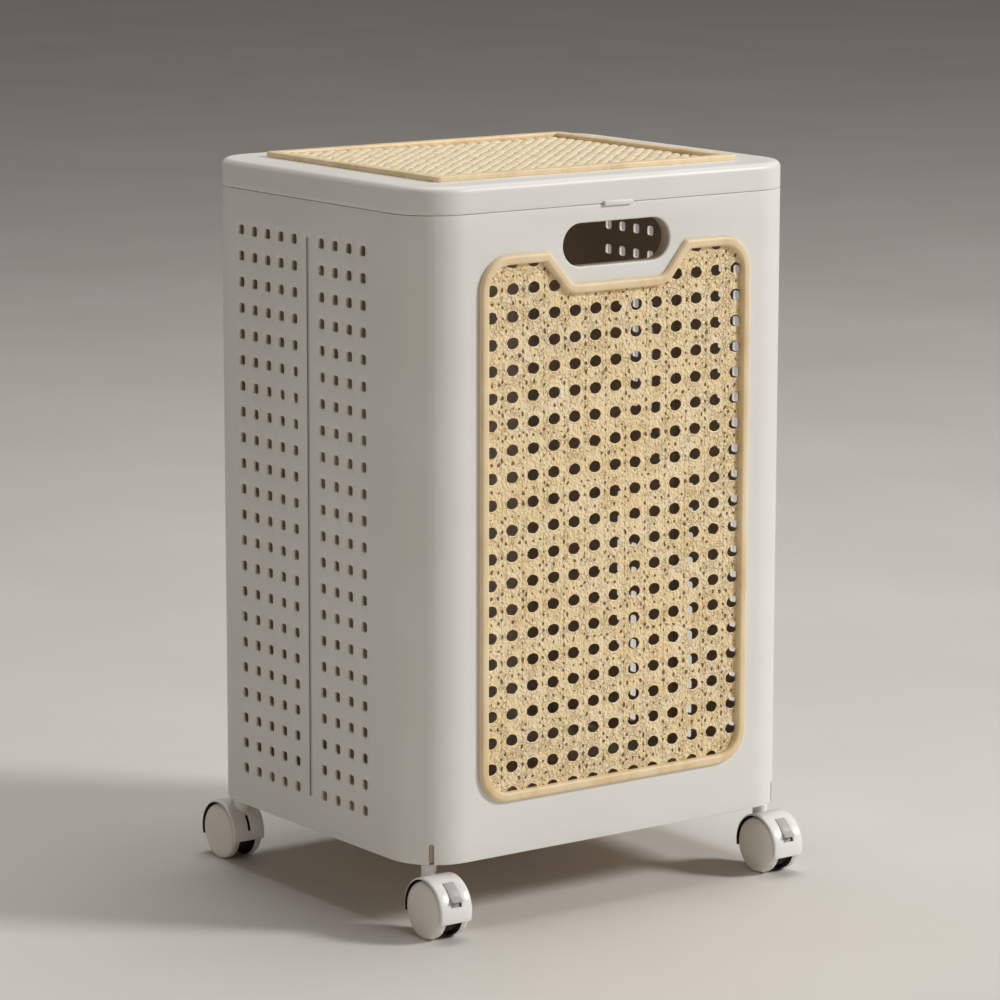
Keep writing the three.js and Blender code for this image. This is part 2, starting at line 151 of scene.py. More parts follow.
class Finish(Nodes):
    # a material: the constants go straight on the shader, and feed() joins what changes
    def __init__(self, name, **constants):
        self.material = bpy.data.materials.new(name)
        self.material.use_nodes = True
        super().__init__(self.material.node_tree)
        self.surface = self.tree.nodes["Principled BSDF"]
        for socket, value in constants.items():
            self.surface.inputs[socket.replace("_", " ")].default_value = value
        self.place = self.node("ShaderNodeTexCoord", output="Object")

    def noise(self, scale, detail=2.0, place=None, rough=0.5):
        values = {"Vector": place or self.place, "Scale": scale, "Detail": detail, "Roughness": rough}
        return self.node("ShaderNodeTexNoise", (), values)

    def stretched(self, sizes, turn=0.0):
        # object coordinates turned about z and scaled, for grain that runs one way
        turned = {"Vector": self.place, "Rotation": (0, 0, turn), "Scale": sizes}
        return self.node("ShaderNodeMapping", (), turned)

    def along(self, axis):
        # one of the object coordinates, in metres
        parts = self.node("ShaderNodeSeparateXYZ", (), {"Vector": self.place})
        return Wire(self, parts.socket.node.outputs[axis])

    def ramp(self, factor, *stops):
        return self.node("ShaderNodeValToRGB", {"stops": stops}, {"Fac": factor})

    def between(self, value, low, high, start=0.0, end=1.0):
        # a soft step: start below low, end above high
        values = {"Value": value, "From Min": low, "From Max": high, "To Min": start, "To Max": end}
        return self.node("ShaderNodeMapRange", {"interpolation_type": "SMOOTHSTEP"}, values)

    def mix(self, factor, first, second):
        return self.node("ShaderNodeMix", {"data_type": "RGBA"}, {0: factor, 6: first, 7: second}, 2)

    def bump(self, height, strength, distance):
        values = {"Height": height, "Strength": strength, "Distance": distance}
        return self.node("ShaderNodeBump", (), values)

    def feed(self, **wires):
        for socket, wire in wires.items():
            self.tree.links.new(wire.socket, self.surface.inputs[socket.replace("_", " ")])
        return self.material


# Materials

def tint(red, green, blue):
    # a colour given from 0 to 255 as it looks on a screen
    return tuple((c / 255 / 12.92 if c < 10.3 else ((c / 255 + 0.055) / 1.055) ** 2.4)
                 for c in (red, green, blue)) + (1.0,)


def mouldedPlastic(name, pale, deep, gloss, grain=0.05, innerShade=None):
    # satin moulded plastic: faint clouding, and a fine grain that breaks up the gloss
    finish = Finish(name, Specular_IOR_Level=0.5)
    cloud = finish.noise(9.0, 3.0)
    fine = finish.noise(900.0, 2.0)
    colour = finish.ramp(cloud, (0.3, deep), (0.7, pale))
    if innerShade:
        # painted shade: the inner faces of the walls, a little in from the outer skin, are made warmer and
        # darker
        x, y = [abs(finish.along(axis)) * 1000.0 for axis in "XY"]
        cornerX, cornerY = (x - flatX).greatest(0.0), (y - flatY).greatest(0.0)
        atCorner = body["corner"] - (cornerX ** 2.0 + cornerY ** 2.0) ** 0.5
        deepIn = atCorner.least(body["halfWidth"] - x).least(body["halfDepth"] - y)
        height, rimLow = finish.along("Z") * 1000.0, body["rimLow"]
        belowRim = finish.between(height, rimLow - 1.0, rimLow, 1.0, 0.0)
        colour = finish.mix(finish.between(deepIn, innerShadeFrom, innerShadeFrom + 0.8) * belowRim, colour, innerShade)
        # painted shade: the side grooves are darkened along both edges
        across, half = abs(finish.along("Y") * 1000.0 - paintedGrooveShade["y"]), paintedGrooveShade["half"]
        inGroove = finish.between(x, *paintedGrooveShade["mouth"], 1.0, 0.0) * finish.between(
            across, half, half + 0.3, 1.0, 0.0)
        edges = finish.between(across, half - 1.1, half - 0.2, 0.3, 1.0)
        atSide = finish.between(x, *paintedGrooveShade["depth"])
        shade = inGroove * edges * atSide * paintedGrooveShade["shade"]
        colour = finish.mix(shade, colour, tint(*paintedGrooveShade["tone"]))
    rough = gloss + 0.07 * cloud + 0.05 * fine
    grained = finish.bump(fine, grain, 0.0002)
    return finish.feed(Base_Color=colour, Roughness=rough, Normal=grained)


plastics = dict(
    shell=(tint(235, 234, 230), tint(230, 228, 223), 0.36),
    caster=(tint(248, 247, 245), tint(243, 242, 239), 0.2),
    wheel=(tint(240, 236, 229), tint(233, 229, 221), 0.34),
    lever=(tint(190, 190, 187), tint(178, 178, 175), 0.40),
    tray=(tint(207, 190, 171), tint(197, 180, 161), 0.46),
)
shellWhite = mouldedPlastic("shellWhite", *plastics["shell"])
# the body's inner faces get a warmer, darker painted shade
bodyWhite = mouldedPlastic("bodyWhite", *plastics["shell"], innerShade=tint(207, 190, 171))
casterWhite = mouldedPlastic("casterWhite", *plastics["caster"])
wheelWhite = mouldedPlastic("wheelWhite", *plastics["wheel"], grain=0.08)
leverGrey = mouldedPlastic("leverGrey", *plastics["lever"])
# the tray inside the body is given the same warm painted shade as the body's inner faces
trayWhite = mouldedPlastic("trayWhite", *plastics["tray"], grain=0.1)
coreBlack = mouldedPlastic("coreBlack", tint(26, 25, 24), tint(16, 15, 15), 0.55, grain=0.15)


def brushedSteel():
    finish = Finish("brushedSteel", Metallic=1.0)
    lines = finish.noise(240.0, 3.0, finish.stretched((0.15, 1.0, 1.0)))
    colour = finish.ramp(lines, (0.3, tint(150, 151, 153)), (0.75, tint(202, 203, 205)))
    return finish.feed(Base_Color=colour, Roughness=0.22 + 0.2 * lines,
                       Normal=finish.bump(lines, 0.1, 0.0001))


strawLook = dict(
    pale=tint(249, 230, 194), middle=tint(240, 215, 173), deep=tint(222, 192, 146),
    roughness=0.40, pores=700.0)


def strawPlastic():
    # the bezels: plastic tinted like straw, with faint drawn-out streaks and fine pores
    finish = Finish("strawPlastic", Specular_IOR_Level=0.5)
    cloud = finish.noise(26.0, 4.0)
    streaks = finish.noise(90.0, 3.0, finish.stretched((1.0, 1.0, 0.12)))
    pores = finish.noise(strawLook["pores"], 2.0)
    tone = 0.55 * cloud + 0.45 * streaks
    colour = finish.ramp(tone, (0.28, strawLook["deep"]), (0.48, strawLook["middle"]),
                         (0.72, strawLook["pale"]))
    return finish.feed(Base_Color=colour, Roughness=strawLook["roughness"] + 0.12 * pores,
                       Normal=finish.bump(pores, 0.16, 0.0002))


brushedMetal = brushedSteel()
strawBezel = strawPlastic()


# Meshes: everything below is worked out in millimetres and made in metres

class Skin:
    def __init__(self):
        self.points = []
        self.faces = []

    def grid(self, rows, around=False, skip=()):
        # rows of points joined by four-sided faces; skip lists (row, column) cells left open
        rows = [np.asarray(row, float) for row in rows]
        start, count = len(self.points), len(rows[0])
        for row in rows:
            self.points.extend(map(tuple, row))
        for i in range(len(rows) - 1):
            for j in range(count if around else count - 1):
                if (i, j) in skip:
                    continue
                a, b = start + i * count + j, start + i * count + (j + 1) % count
                self.faces.append((a, b, b + count, a + count))
        return self

    def face(self, ring):
        start = len(self.points)
        self.points.extend(tuple(map(float, p)) for p in ring)
        self.faces.append(tuple(range(start, start + len(ring))))
        return self

    def fill(self, *rings):
        # a flat sheet inside the first ring and outside the others
        start = len(self.points)
        rings = [[Vector(map(float, p)) for p in ring] for ring in rings]
        for ring in rings:
            self.points.extend(tuple(p) for p in ring)
        for three in tessellate_polygon(rings):
            self.faces.append(tuple(start + i for i in three))
        return self

    def take(self, points, faces, move=lambda p: p):
        start = len(self.points)
        self.points.extend(tuple(p) for p in move(np.asarray(points, float)))
        self.faces.extend(tuple(start + i for i in face) for face in faces)
        return self

    def add(self, other, move=lambda p: p):
        return self.take(other.points, other.faces, move)

    def moved(self, move):
        return Skin().add(self, move)


def meshOf(name, skin, merge=0.02, outward=True):
    mesh = bpy.data.meshes.new(name)
    mesh.from_pydata([tuple(c / 1000 for c in p) for p in skin.points], [], skin.faces)
    shape = bmesh.new()
    shape.from_mesh(mesh)
    bmesh.ops.remove_doubles(shape, verts=shape.verts, dist=merge / 1000)
    bmesh.ops.dissolve_degenerate(shape, edges=shape.edges, dist=1e-7)
    if outward:
        bmesh.ops.recalc_face_normals(shape, faces=shape.faces)
    shape.to_mesh(mesh)
    shape.free()
    return mesh


def soften(mesh, angle=35):
    mesh.shade_smooth()
    mesh.set_sharp_from_angle(angle=math.radians(angle))
    return mesh


def modified(mesh, *modifiers):
    # the mesh after a list of (type, settings), as a plain mesh
    thing = bpy.data.objects.new("working", mesh)
    scene.collection.objects.link(thing)
    for kind, settings in modifiers:
        modifier = thing.modifiers.new(kind, kind)
        for name, value in settings.items():
            setattr(modifier, name, value)
    ready = thing.evaluated_get(bpy.context.evaluated_depsgraph_get())
    made = bpy.data.meshes.new_from_object(ready)
    bpy.data.objects.remove(thing)
    return made


def pieceOf(name, mesh, material, body, slot, *stands):
    mesh.materials.clear()
    mesh.materials.append(material)
    thing = bpy.data.objects.new(name, mesh)
    scene.collection.objects.link(thing)
    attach(thing, body)
    if stands:
        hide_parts(*stands)
    return thing


def towards(vector):
    return vector / np.linalg.norm(vector)


def inset(corners, distance, tightest=1.0):
    # rounded corners [x, y, radius], listed anticlockwise, moved inwards
    made = []
    for i, (x, y, radius) in enumerate(corners):
        here = np.array((x, y), float)
        into = towards(here - np.array(corners[i - 1][:2], float))
        away = towards(np.array(corners[(i + 1) % len(corners)][:2], float) - here)
        turn = into[0] * away[1] - into[1] * away[0]
        shift = np.array((-into[1] - away[1], into[0] + away[0])) / (1 + into @ away)
        rounder = radius + distance if turn < 0 else max(radius - distance, tightest)
        made.append((*(here + distance * shift), rounder))
    return made


def outline(corners, distance=0.0, steps=8):
    # the closed line round those corners, as points
    line = []
    corners = inset(corners, distance) if distance else corners
    for i, (x, y, radius) in enumerate(corners):
        here = np.array((x, y), float)
        before = towards(np.array(corners[i - 1][:2], float) - here)
        after = towards(np.array(corners[(i + 1) % len(corners)][:2], float) - here)
        half = math.acos(max(-1.0, min(1.0, before @ after))) / 2
        centre = here + towards(before + after) * radius / math.sin(half)
        start = here + before * radius / math.tan(half) - centre
        end = here + after * radius / math.tan(half) - centre
        first = math.atan2(start[1], start[0])
        sweep = (math.atan2(end[1], end[0]) - first + math.pi) % (2 * math.pi) - math.pi
        for k in range(steps + 1):
            turn = first + sweep * k / steps
            line.append(centre + radius * np.array((math.cos(turn), math.sin(turn))))
    return np.array(line)


def rectangle(width, depth, radius):
    x, y = width / 2, depth / 2
    return [(-x, -y, radius), (x, -y, radius), (x, y, radius), (-x, y, radius)]


def level(line, height):
    return np.column_stack((line, np.full(len(line), float(height))))


def standing(line, depth):
    # a line drawn on x and z, at one depth along y
    return np.column_stack((line[:, 0], np.full(len(line), float(depth)), line[:, 1]))


def rounding(radius, steps):
    # a quarter circle of (inwards, downwards) steps, from the side to the top of an edge
    turns = [math.pi / 2 * k / steps for k in range(steps + 1)]
    return [(radius * (1 - math.cos(t)), radius * (1 - math.sin(t))) for t in turns]


# Geometry Nodes

def grown(tree, name, values, mesh=None):
    # runs a node tree once and returns its result as a plain mesh
    thing = bpy.data.objects.new(name, mesh or bpy.data.meshes.new(name))
    scene.collection.objects.link(thing)
    modifier = thing.modifiers.new("grow", "NODES")
    modifier.node_group = tree
    for item in tree.interface.items_tree:
        if item.in_out == "INPUT" and item.name in values:
            modifier[item.identifier] = values[item.name]
    ready = thing.evaluated_get(bpy.context.evaluated_depsgraph_get())
    made = bpy.data.meshes.new_from_object(ready)
    thing.modifiers.remove(modifier)
    bpy.data.objects.remove(thing)
    return made


def cellTree(names):
    # one of several cells on each point of a grid, picked at random with a fixed seed
    inputs = {"Columns": "Int", "Rows": "Int", "Column Pitch": "Float", "Row Pitch": "Float",
              "Seed": "Int", "Finish": "Material"}
    growth = Growth("cellsOnGrid", inputs | {name: "Object" for name in names})
    given, node = growth.given, growth.node
    grid = node("GeometryNodeMeshGrid", (), {
        "Size X": (given["Columns"] - 1) * given["Column Pitch"], "Vertices X": given["Columns"],
        "Size Y": (given["Rows"] - 1) * given["Row Pitch"], "Vertices Y": given["Rows"]})
    # the whole-number sockets of Random Value: 4 and 5 are its limits, 8 its seed, 2 its result
    pick = node("FunctionNodeRandomValue", {"data_type": "INT"},
                {4: 0, 5: len(names) - 1, 8: given["Seed"]}, 2)
    cells = node("GeometryNodeJoinGeometry")
    for name in reversed(names):
        cell = node("GeometryNodeObjectInfo", (),
                    {"Object": given[name], "As Instance": True}, "Geometry")
        growth.tree.links.new(cell.socket, cells.socket.node.inputs[0])
    return growth.ended(node("GeometryNodeInstanceOnPoints", (), {
        "Points": grid, "Instance": cells, "Pick Instance": True, "Instance Index": pick}))


def onGrid(cells, columns, rows, pitchX, pitchY, finish, seed=3):
    # cells are Skins about their own centre, in x and y; the result is arrays of points and faces
    things = {}
    for i, cell in enumerate(cells):
        thing = bpy.data.objects.new(f"cell{i}", meshOf(f"cell{i}", cell, outward=False))
        scene.collection.objects.link(thing)
        things[f"Cell {i + 1}"] = thing
    values = {"Columns": columns, "Rows": rows, "Column Pitch": pitchX / 1000,
              "Row Pitch": pitchY / 1000, "Seed": seed, "Finish": finish}
    made = grown(cellTree(list(things)), "cells", values | things)
    for thing in things.values():
        bpy.data.objects.remove(thing)
    return pointsAndFaces(made)


def pointsAndFaces(mesh):
    # a mesh's points in millimetres, and the corners of its faces
    return np.array([v.co for v in mesh.vertices]) * 1000, [tuple(p.vertices) for p in mesh.polygons]


# The body

vent = dict(
    columnPitch=20.5, rowPitch=22.6, rows=22, top=569.4, rear=103.4, grooveColumn=5, columns=10,
    size=8.5, round=2.2, soft=0.45)
groove = dict(width=4.6, depth=1.5, soft=0.25)
handHole = dict(
    halfWidth=56.0, halfHeight=18.0, centre=571.3, soft=1.6, collarWall=2.5, collarDepth=12.0)
cornerSlot = dict(angle=51.0, width=4.5, spring=76.6)
bezel = dict(
    corners=[(-142, 107.3, 29), (142, 107.3, 29), (142, 568.6, 29), (72, 568.6, 5), (48, 539.8, 13),
             (-48, 539.8, 13), (-72, 568.6, 5), (-142, 568.6, 29)],
    bar=8.4, proud=4.0, off=0.3, windowInset=5.5)

ventLines = [vent["rear"] + (0.5 - n) * vent["columnPitch"] for n in range(vent["columns"] + 1)]
rowLines = [vent["top"] + (0.5 - m) * vent["rowPitch"] for m in range(vent["rows"] + 1)][::-1]
outerLow, outerHigh = body["low"] + body["edge"], body["high"] - body["lipEdge"]
outerLines = [outerLow, cornerSlot["spring"], *rowLines, outerHigh]
innerLines = [outerLow, cornerSlot["spring"], *rowLines, body["rimLow"]]


def ventCell():
    # one small window: front face, softened edge, tunnel and back face, drawn on x and y
    half, wall, soft = vent["size"] / 2, body["wall"], vent["soft"]
    spread = np.array((vent["columnPitch"], vent["rowPitch"])) / 2
    border = np.array([(-1, -1), (1, -1), (1, 1), (-1, 1)]) * spread
    steps = 3
    rings = [outline(rectangle(2 * half + 2 * grow, 2 * half + 2 * grow, vent["round"] + grow), 0, steps)
             for grow in (soft, soft * 0.3, 0, 0)]
    depths = (0, soft * 0.3, soft, wall)
    cell = Skin()
    cell.grid([level(ring, -depth) for ring, depth in zip(rings, depths)], around=True)
    for ring, depth in ((rings[0], 0), (rings[-1], wall)):
        for side in range(4):
            near = [ring[(side * (steps + 1) + steps // 2 + k) % len(ring)] for k in range(steps + 2)]
            points = [border[side], border[(side + 1) % 4], *near[::-1]]
            cell.face([(*p, -depth) for p in points])
    return cell


ventBlocks = []
grooveMiddle = (ventLines[vent["grooveColumn"]] + ventLines[vent["grooveColumn"] + 1]) / 2
for firstColumn, lastColumn in ((0, vent["grooveColumn"]), (vent["grooveColumn"] + 1, vent["columns"])):
    middle = (ventLines[firstColumn] + ventLines[lastColumn]) / 2
    ventBlocks.append((middle, *onGrid([ventCell()], lastColumn - firstColumn, vent["rows"],
                                       vent["columnPitch"], vent["rowPitch"], shellWhite)))
ventMiddle = (rowLines[0] + rowLines[-1]) / 2
print("side vents made")


def grooveRings(left, right):
    # the groove between two vent blocks, as rings from the wall's face down to its floor
    half, soft, depth = groove["width"] / 2, groove["soft"], groove["depth"]
    reach = (vent["rowPitch"] - vent["size"]) / 2
    low, high, corner = rowLines[0] + reach, rowLines[-1] - reach, half - 0.05
    track = [(grooveMiddle - half, low, corner), (grooveMiddle + half, low, corner),
             (grooveMiddle + half, high, corner), (grooveMiddle - half, high, corner)]
    rings = [(-soft, 0), (-soft * 0.3, soft * 0.25), (0, soft * 0.9), (0.15, depth * 0.85), (0.6, depth)]
    border = [(left, z, 0) for z in rowLines[::-1]] + [(right, z, 0) for z in rowLines]
    return border, [level(outline(track, inwards, 6), -down) for inwards, down in rings]


def sideWall(skin, side):
    def onWall(points):
        return np.column_stack((side * (body["halfWidth"] + points[:, 2]), points[:, 0], points[:, 1]))

    def flat(left, right, low, high, depth=0.0):
        ring = [(left, low, -depth), (right, low, -depth), (right, high, -depth), (left, high, -depth)]
        skin.take(ring, [(0, 1, 2, 3)], onWall)

    for middle, points, faces in ventBlocks:
        skin.take(points + (middle, ventMiddle, 0), faces, onWall)
    lines = [-flatY, *ventLines[::-1], flatY]
    for left, right in zip(lines, lines[1:]):
        isStrip = left == -flatY or right == flatY
        isGroove = abs((left + right) / 2 - grooveMiddle) < 1
        for heights, depth in ((outerLines, 0.0), (innerLines, body["wall"])):
            for i in (0, 1, -2):
                flat(left, right, heights[i], heights[i + 1], depth)
        if isStrip or isGroove:
            for low, high in zip(rowLines, rowLines[1:]):
                flat(left, right, low, high, body["wall"])
                if isStrip:
                    flat(left, right, low, high)
        if isGroove:
            border, rings = grooveRings(left, right)
            skin.add(Skin().grid(rings, around=True).fill(rings[-1]).fill(border, rings[0]), onWall)


def stadium(extra):
    width, height = handHole["halfWidth"] + extra, handHole["halfHeight"] + extra
    return outline(rectangle(2 * width, 2 * height, height - 0.02), 0, 10) + (0, handHole["centre"])


def endWall(skin, side):
    # the front wall has a window for the woven panel; both have a hand hole with a collar inside
    def onWall(line, depth):
        return standing(line, side * (body["halfDepth"] - depth))

    strip = flatX - 2
    window = outline(inset(bezel["corners"], bezel["windowInset"]), 0, 6)
    for depth, lines in ((0, outerLines), (body["wall"], innerLines)):
        for left, right in ((-flatX, -strip), (strip, flatX)):
            for low, high in zip(lines, lines[1:]):
                corners = [(left, low), (right, low), (right, high), (left, high)]
                skin.face(onWall(np.array(corners), depth))
        edge = [(-strip, z) for z in lines[::-1]] + [(strip, z) for z in lines]
        rings = [onWall(np.array(edge), depth)]
        rings.append(onWall(stadium(handHole["soft"] if depth == 0 else handHole["collarWall"]), depth))
        if side < 0:
            rings.append(onWall(window, depth))
        skin.fill(*rings)
    if side < 0:
        skin.grid([onWall(window, 0), onWall(window, body["wall"])], around=True)
    soft, deep, wall = handHole["soft"], handHole["collarDepth"], handHole["collarWall"]
    profile = [(grow, down) for down, grow in rounding(soft, 5)]
    profile += [(0, deep - 0.6), (0.2, deep - 0.15), (0.7, deep), (wall - 0.5, deep), (wall, deep - 0.5),
                (wall, body["wall"])]
    skin.grid([onWall(stadium(grow), depth) for grow, depth in profile], around=True)


def stations():
    # places round the walls, seen from above: (x, y), the way out, and what stands to the left
    slotHalf = math.degrees(cornerSlot["width"] / 2 / body["corner"])
    places = []

    def straight(points, outwards):
        places.extend((np.array(p, float), np.array(outwards, float), "wall") for p in points)

    def arc(centreX, centreY, first, slotAngle):
        slotEdges = [slotAngle - slotHalf, slotAngle + slotHalf]
        angles = [a for a in np.arange(first, first + 90.1, 5) if not slotEdges[0] < a < slotEdges[1]]
        angles = sorted(angles + slotEdges)
        for i, a in enumerate(angles):
            way = np.array((math.cos(math.radians(a)), math.sin(math.radians(a))))
            tag = "slot" if i and angles[i] == slotEdges[1] else "arc" if i else "skip"
            places.append((np.array((centreX, centreY)) + body["corner"] * way, way, tag))

    sideLines = [-flatY, *ventLines[::-1], flatY]
    endLines = [-flatX, -flatX + 2, flatX - 2, flatX]
    width, depth, angle = body["halfWidth"], body["halfDepth"], cornerSlot["angle"]
    straight([(width, y) for y in sideLines], (1, 0))
    arc(flatX, flatY, 0, angle)
    straight([(x, depth) for x in endLines[::-1]], (0, 1))
    arc(-flatX, flatY, 90, 180 - angle)
    straight([(-width, y) for y in sideLines[::-1]], (-1, 0))
    arc(-flatX, -flatY, 180, 180 + angle)
    straight([(x, -depth) for x in endLines], (0, -1))
    arc(flatX, -flatY, 270, 360 - angle)
    return places


def bodyShell():
    skin = Skin()
    for side in (-1, 1):
        sideWall(skin, side)
        endWall(skin, side)
    places = stations()
    spot = np.array([p for p, _, _ in places])
    way = np.array([w for _, w, _ in places])

    def ring(inwards, height):
        return level(spot - inwards * way, height)

    archTurns = np.linspace(0, math.pi, 9)
    wall, rim, edge, lip = body["wall"], body["rimWall"], body["edge"], body["lipEdge"]
    top = [(a, body["high"] - b) for a, b in rounding(lip, 3)]
    top += [(rim - 0.5, body["high"]), (rim, body["high"] - 0.5), (rim, body["rimLow"] + 2.5),
            (wall, body["rimLow"])]
    skin.grid([ring(*p) for p in top], around=True)
    bottom = [(a, body["low"] + b) for a, b in rounding(edge, 3)]
    bottom += [(wall, body["low"]), (wall, outerLow)]
    count = len(places)
    slots = [(i - 1) % count for i, (_, _, tag) in enumerate(places) if tag == "slot"]
    skin.grid([ring(*p) for p in bottom], around=True,
              skip={(row, column) for row in range(len(bottom)) for column in slots})
    for i, (_, _, tag) in enumerate(places):
        if tag not in ("arc", "slot"):
            continue
        pair = [(i - 1) % count, i]
        for inwards, lines in ((0, outerLines), (wall, innerLines)):
            rows = [ring(inwards, z)[pair] for z in lines]
            skin.grid(rows[2:] if tag == "slot" else rows)
        if tag == "slot":
            for j in pair:
                edgeLine = [ring(inwards, z)[j] for inwards, z in bottom[:-2]]
                skin.face([ring(0, outerLines[1])[j], *edgeLine, ring(wall, body["low"])[j],
                           ring(wall, outerLow)[j], ring(wall, outerLines[1])[j]])
            arches = []
            for inwards in (0, wall):
                (left, right), (highLeft, highRight) = [ring(inwards, z)[pair] for z in outerLines[1:3]]
                arches.append([(left + right) / 2 + (left - right) / 2 * math.cos(t)
                               + (0, 0, cornerSlot["width"] / 2 * math.sin(t)) for t in archTurns])
                skin.face([*arches[-1], highRight, highLeft])
            skin.grid(arches)
    return skin


shellMesh = soften(meshOf("bodyShell", bodyShell()))
pieceOf("bodyShell", shellMesh, bodyWhite, "body", "white_shell", "body_shell")
print("body shell made:", len(shellMesh.polygons), "faces")


# Front bezel and its woven panel

def barProfile(bar, proud, off, steps=5):
    # across a bezel bar: (inwards, height); a rounded front with softer outer and inner shoulders
    outer, inner = rounding(3.0, steps), rounding(2.6, steps)
    profile = [(0, off)] + [(a, off + proud - b) for a, b in outer]
    profile += [(bar - a, off + proud - b) for a, b in inner[::-1]]
    return profile


def frontBezel():
    skin = Skin()
    corners, bar = bezel["corners"], bezel["bar"]
    front = -body["halfDepth"]
    profile = barProfile(bar, bezel["proud"], bezel["off"])
    lip = bezel["windowInset"] + 0.3
    profile += [(bar, -1.2), (lip, -1.2), (lip, bezel["off"])]
    rings = [standing(outline(corners, inwards, 8), front - height) for inwards, height in profile]
    skin.grid(rings + [rings[0]], around=True)
    return skin


bezelMesh = soften(meshOf("frontBezel", frontBezel()), 50)
pieceOf("frontBezel", bezelMesh, strawBezel, "body", "straw_frame", "front_frame")
print("front bezel made")

cane = dict(
    pitchX=21.45, pitchZ=22.38, columns=13, rows=22, topRow=561.78, holeWidth=12.9, holeHeight=10.8,
    face=-163.5, thickness=0.9, lip=0.3, ring=2.6, relief=0.3, wobble=0.03, variants=5, seed=11)


def caneCell(variant):
    # a round hole with a soft lip and a smooth raised ring, out to the middle lines of the weave
    chance = np.random.default_rng(cane["seed"] + variant)
    sides, skin = 16, Skin()
    turns = np.arange(sides) * 2 * math.pi / sides
    edge = []
    for t in turns:
        c, s = math.cos(t), math.sin(t)
        far = max(abs(c), abs(s))
        edge.append((c / far * cane["pitchX"] / 2, s / far * cane["pitchZ"] / 2, -cane["relief"]))
    wobble = 1 + cane["wobble"] * chance.standard_normal(sides)
    shift = chance.normal(0, 0.15, 2)
    rows = []
    for grow, depth, share in ((0, -cane["lip"], 1), (0.35, -cane["lip"] * 0.3, 1), (0.9, 0, 0.8),
                               (cane["ring"], -cane["relief"] * 0.4, 0.4)):
        reachX = (cane["holeWidth"] / 2 + grow) * (1 + (wobble - 1) * share)
        reachZ = (cane["holeHeight"] / 2 + grow) * (1 + (wobble - 1) * share)
        rows.append([(rx * math.cos(t) + shift[0] * share, rz * math.sin(t) + shift[1] * share, depth)
                     for rx, rz, t in zip(reachX, reachZ, turns)])
    return skin.grid(rows + [edge], around=True)


def nearestOn(line, points):
    # the nearest place on a closed line to each point, and whether the point is inside it
    ends = np.roll(line, -1, axis=0)
    best = np.full(len(points), 1e9)
    spot, inside = points.copy(), np.zeros(len(points), bool)
    for a, b in zip(line, ends):
        along = b - a
        share = np.clip(((points - a) @ along) / max(along @ along, 1e-9), 0, 1)
        near = a + share[:, None] * along
        gap = np.linalg.norm(points - near, axis=1)
        spot = np.where((gap < best)[:, None], near, spot)
        best = np.minimum(best, gap)
        crosses = (a[1] > points[:, 1]) != (b[1] > points[:, 1])
        rise = np.where(crosses, b[1] - a[1], 1.0)
        inside ^= crosses & (points[:, 0] < a[0] + (points[:, 1] - a[1]) / rise * (b[0] - a[0]))
    return spot, inside


def canePanel():
    cells = [caneCell(i) for i in range(cane["variants"])]
    points, faces = onGrid(cells, cane["columns"], cane["rows"], cane["pitchX"], cane["pitchZ"],
                           strawBezel, cane["seed"])
    middle = cane["topRow"] - (cane["rows"] - 1) / 2 * cane["pitchZ"]
    flatPoints = points[:, :2] + (0, middle)
    border = outline(inset(bezel["corners"], bezel["windowInset"] + 0.35), 0, 6)
    spot, inside = nearestOn(border, flatPoints)
    kept = [face for face in faces if any(inside[i] for i in face)]
    flatPoints = np.where(inside[:, None], flatPoints, spot)
    skin = Skin()
    skin.take(np.column_stack((flatPoints[:, 0], cane["face"] - points[:, 2], flatPoints[:, 1])), kept)
    return skin


caneSolid = dict(thickness=cane["thickness"] / 1000, offset=-1.0, use_even_offset=False)
caneSheet = meshOf("caneSheet", canePanel(), merge=0.05, outward=False)
caneMesh = soften(modified(caneSheet, ("SOLIDIFY", caneSolid)), 50)


caneLook = dict(
    straw=((0.34, (245, 214, 162)), (0.5, (254, 231, 185)), (0.66, (255, 242, 210))),
    # the colour and strength of the painted shade in the hollows between the knobs
    knobHollowShade=(228, 192, 136), knobHollowShadeAmount=0.22, crack=(176, 132, 76), cracked=0.28, gap=(104, 72, 40))


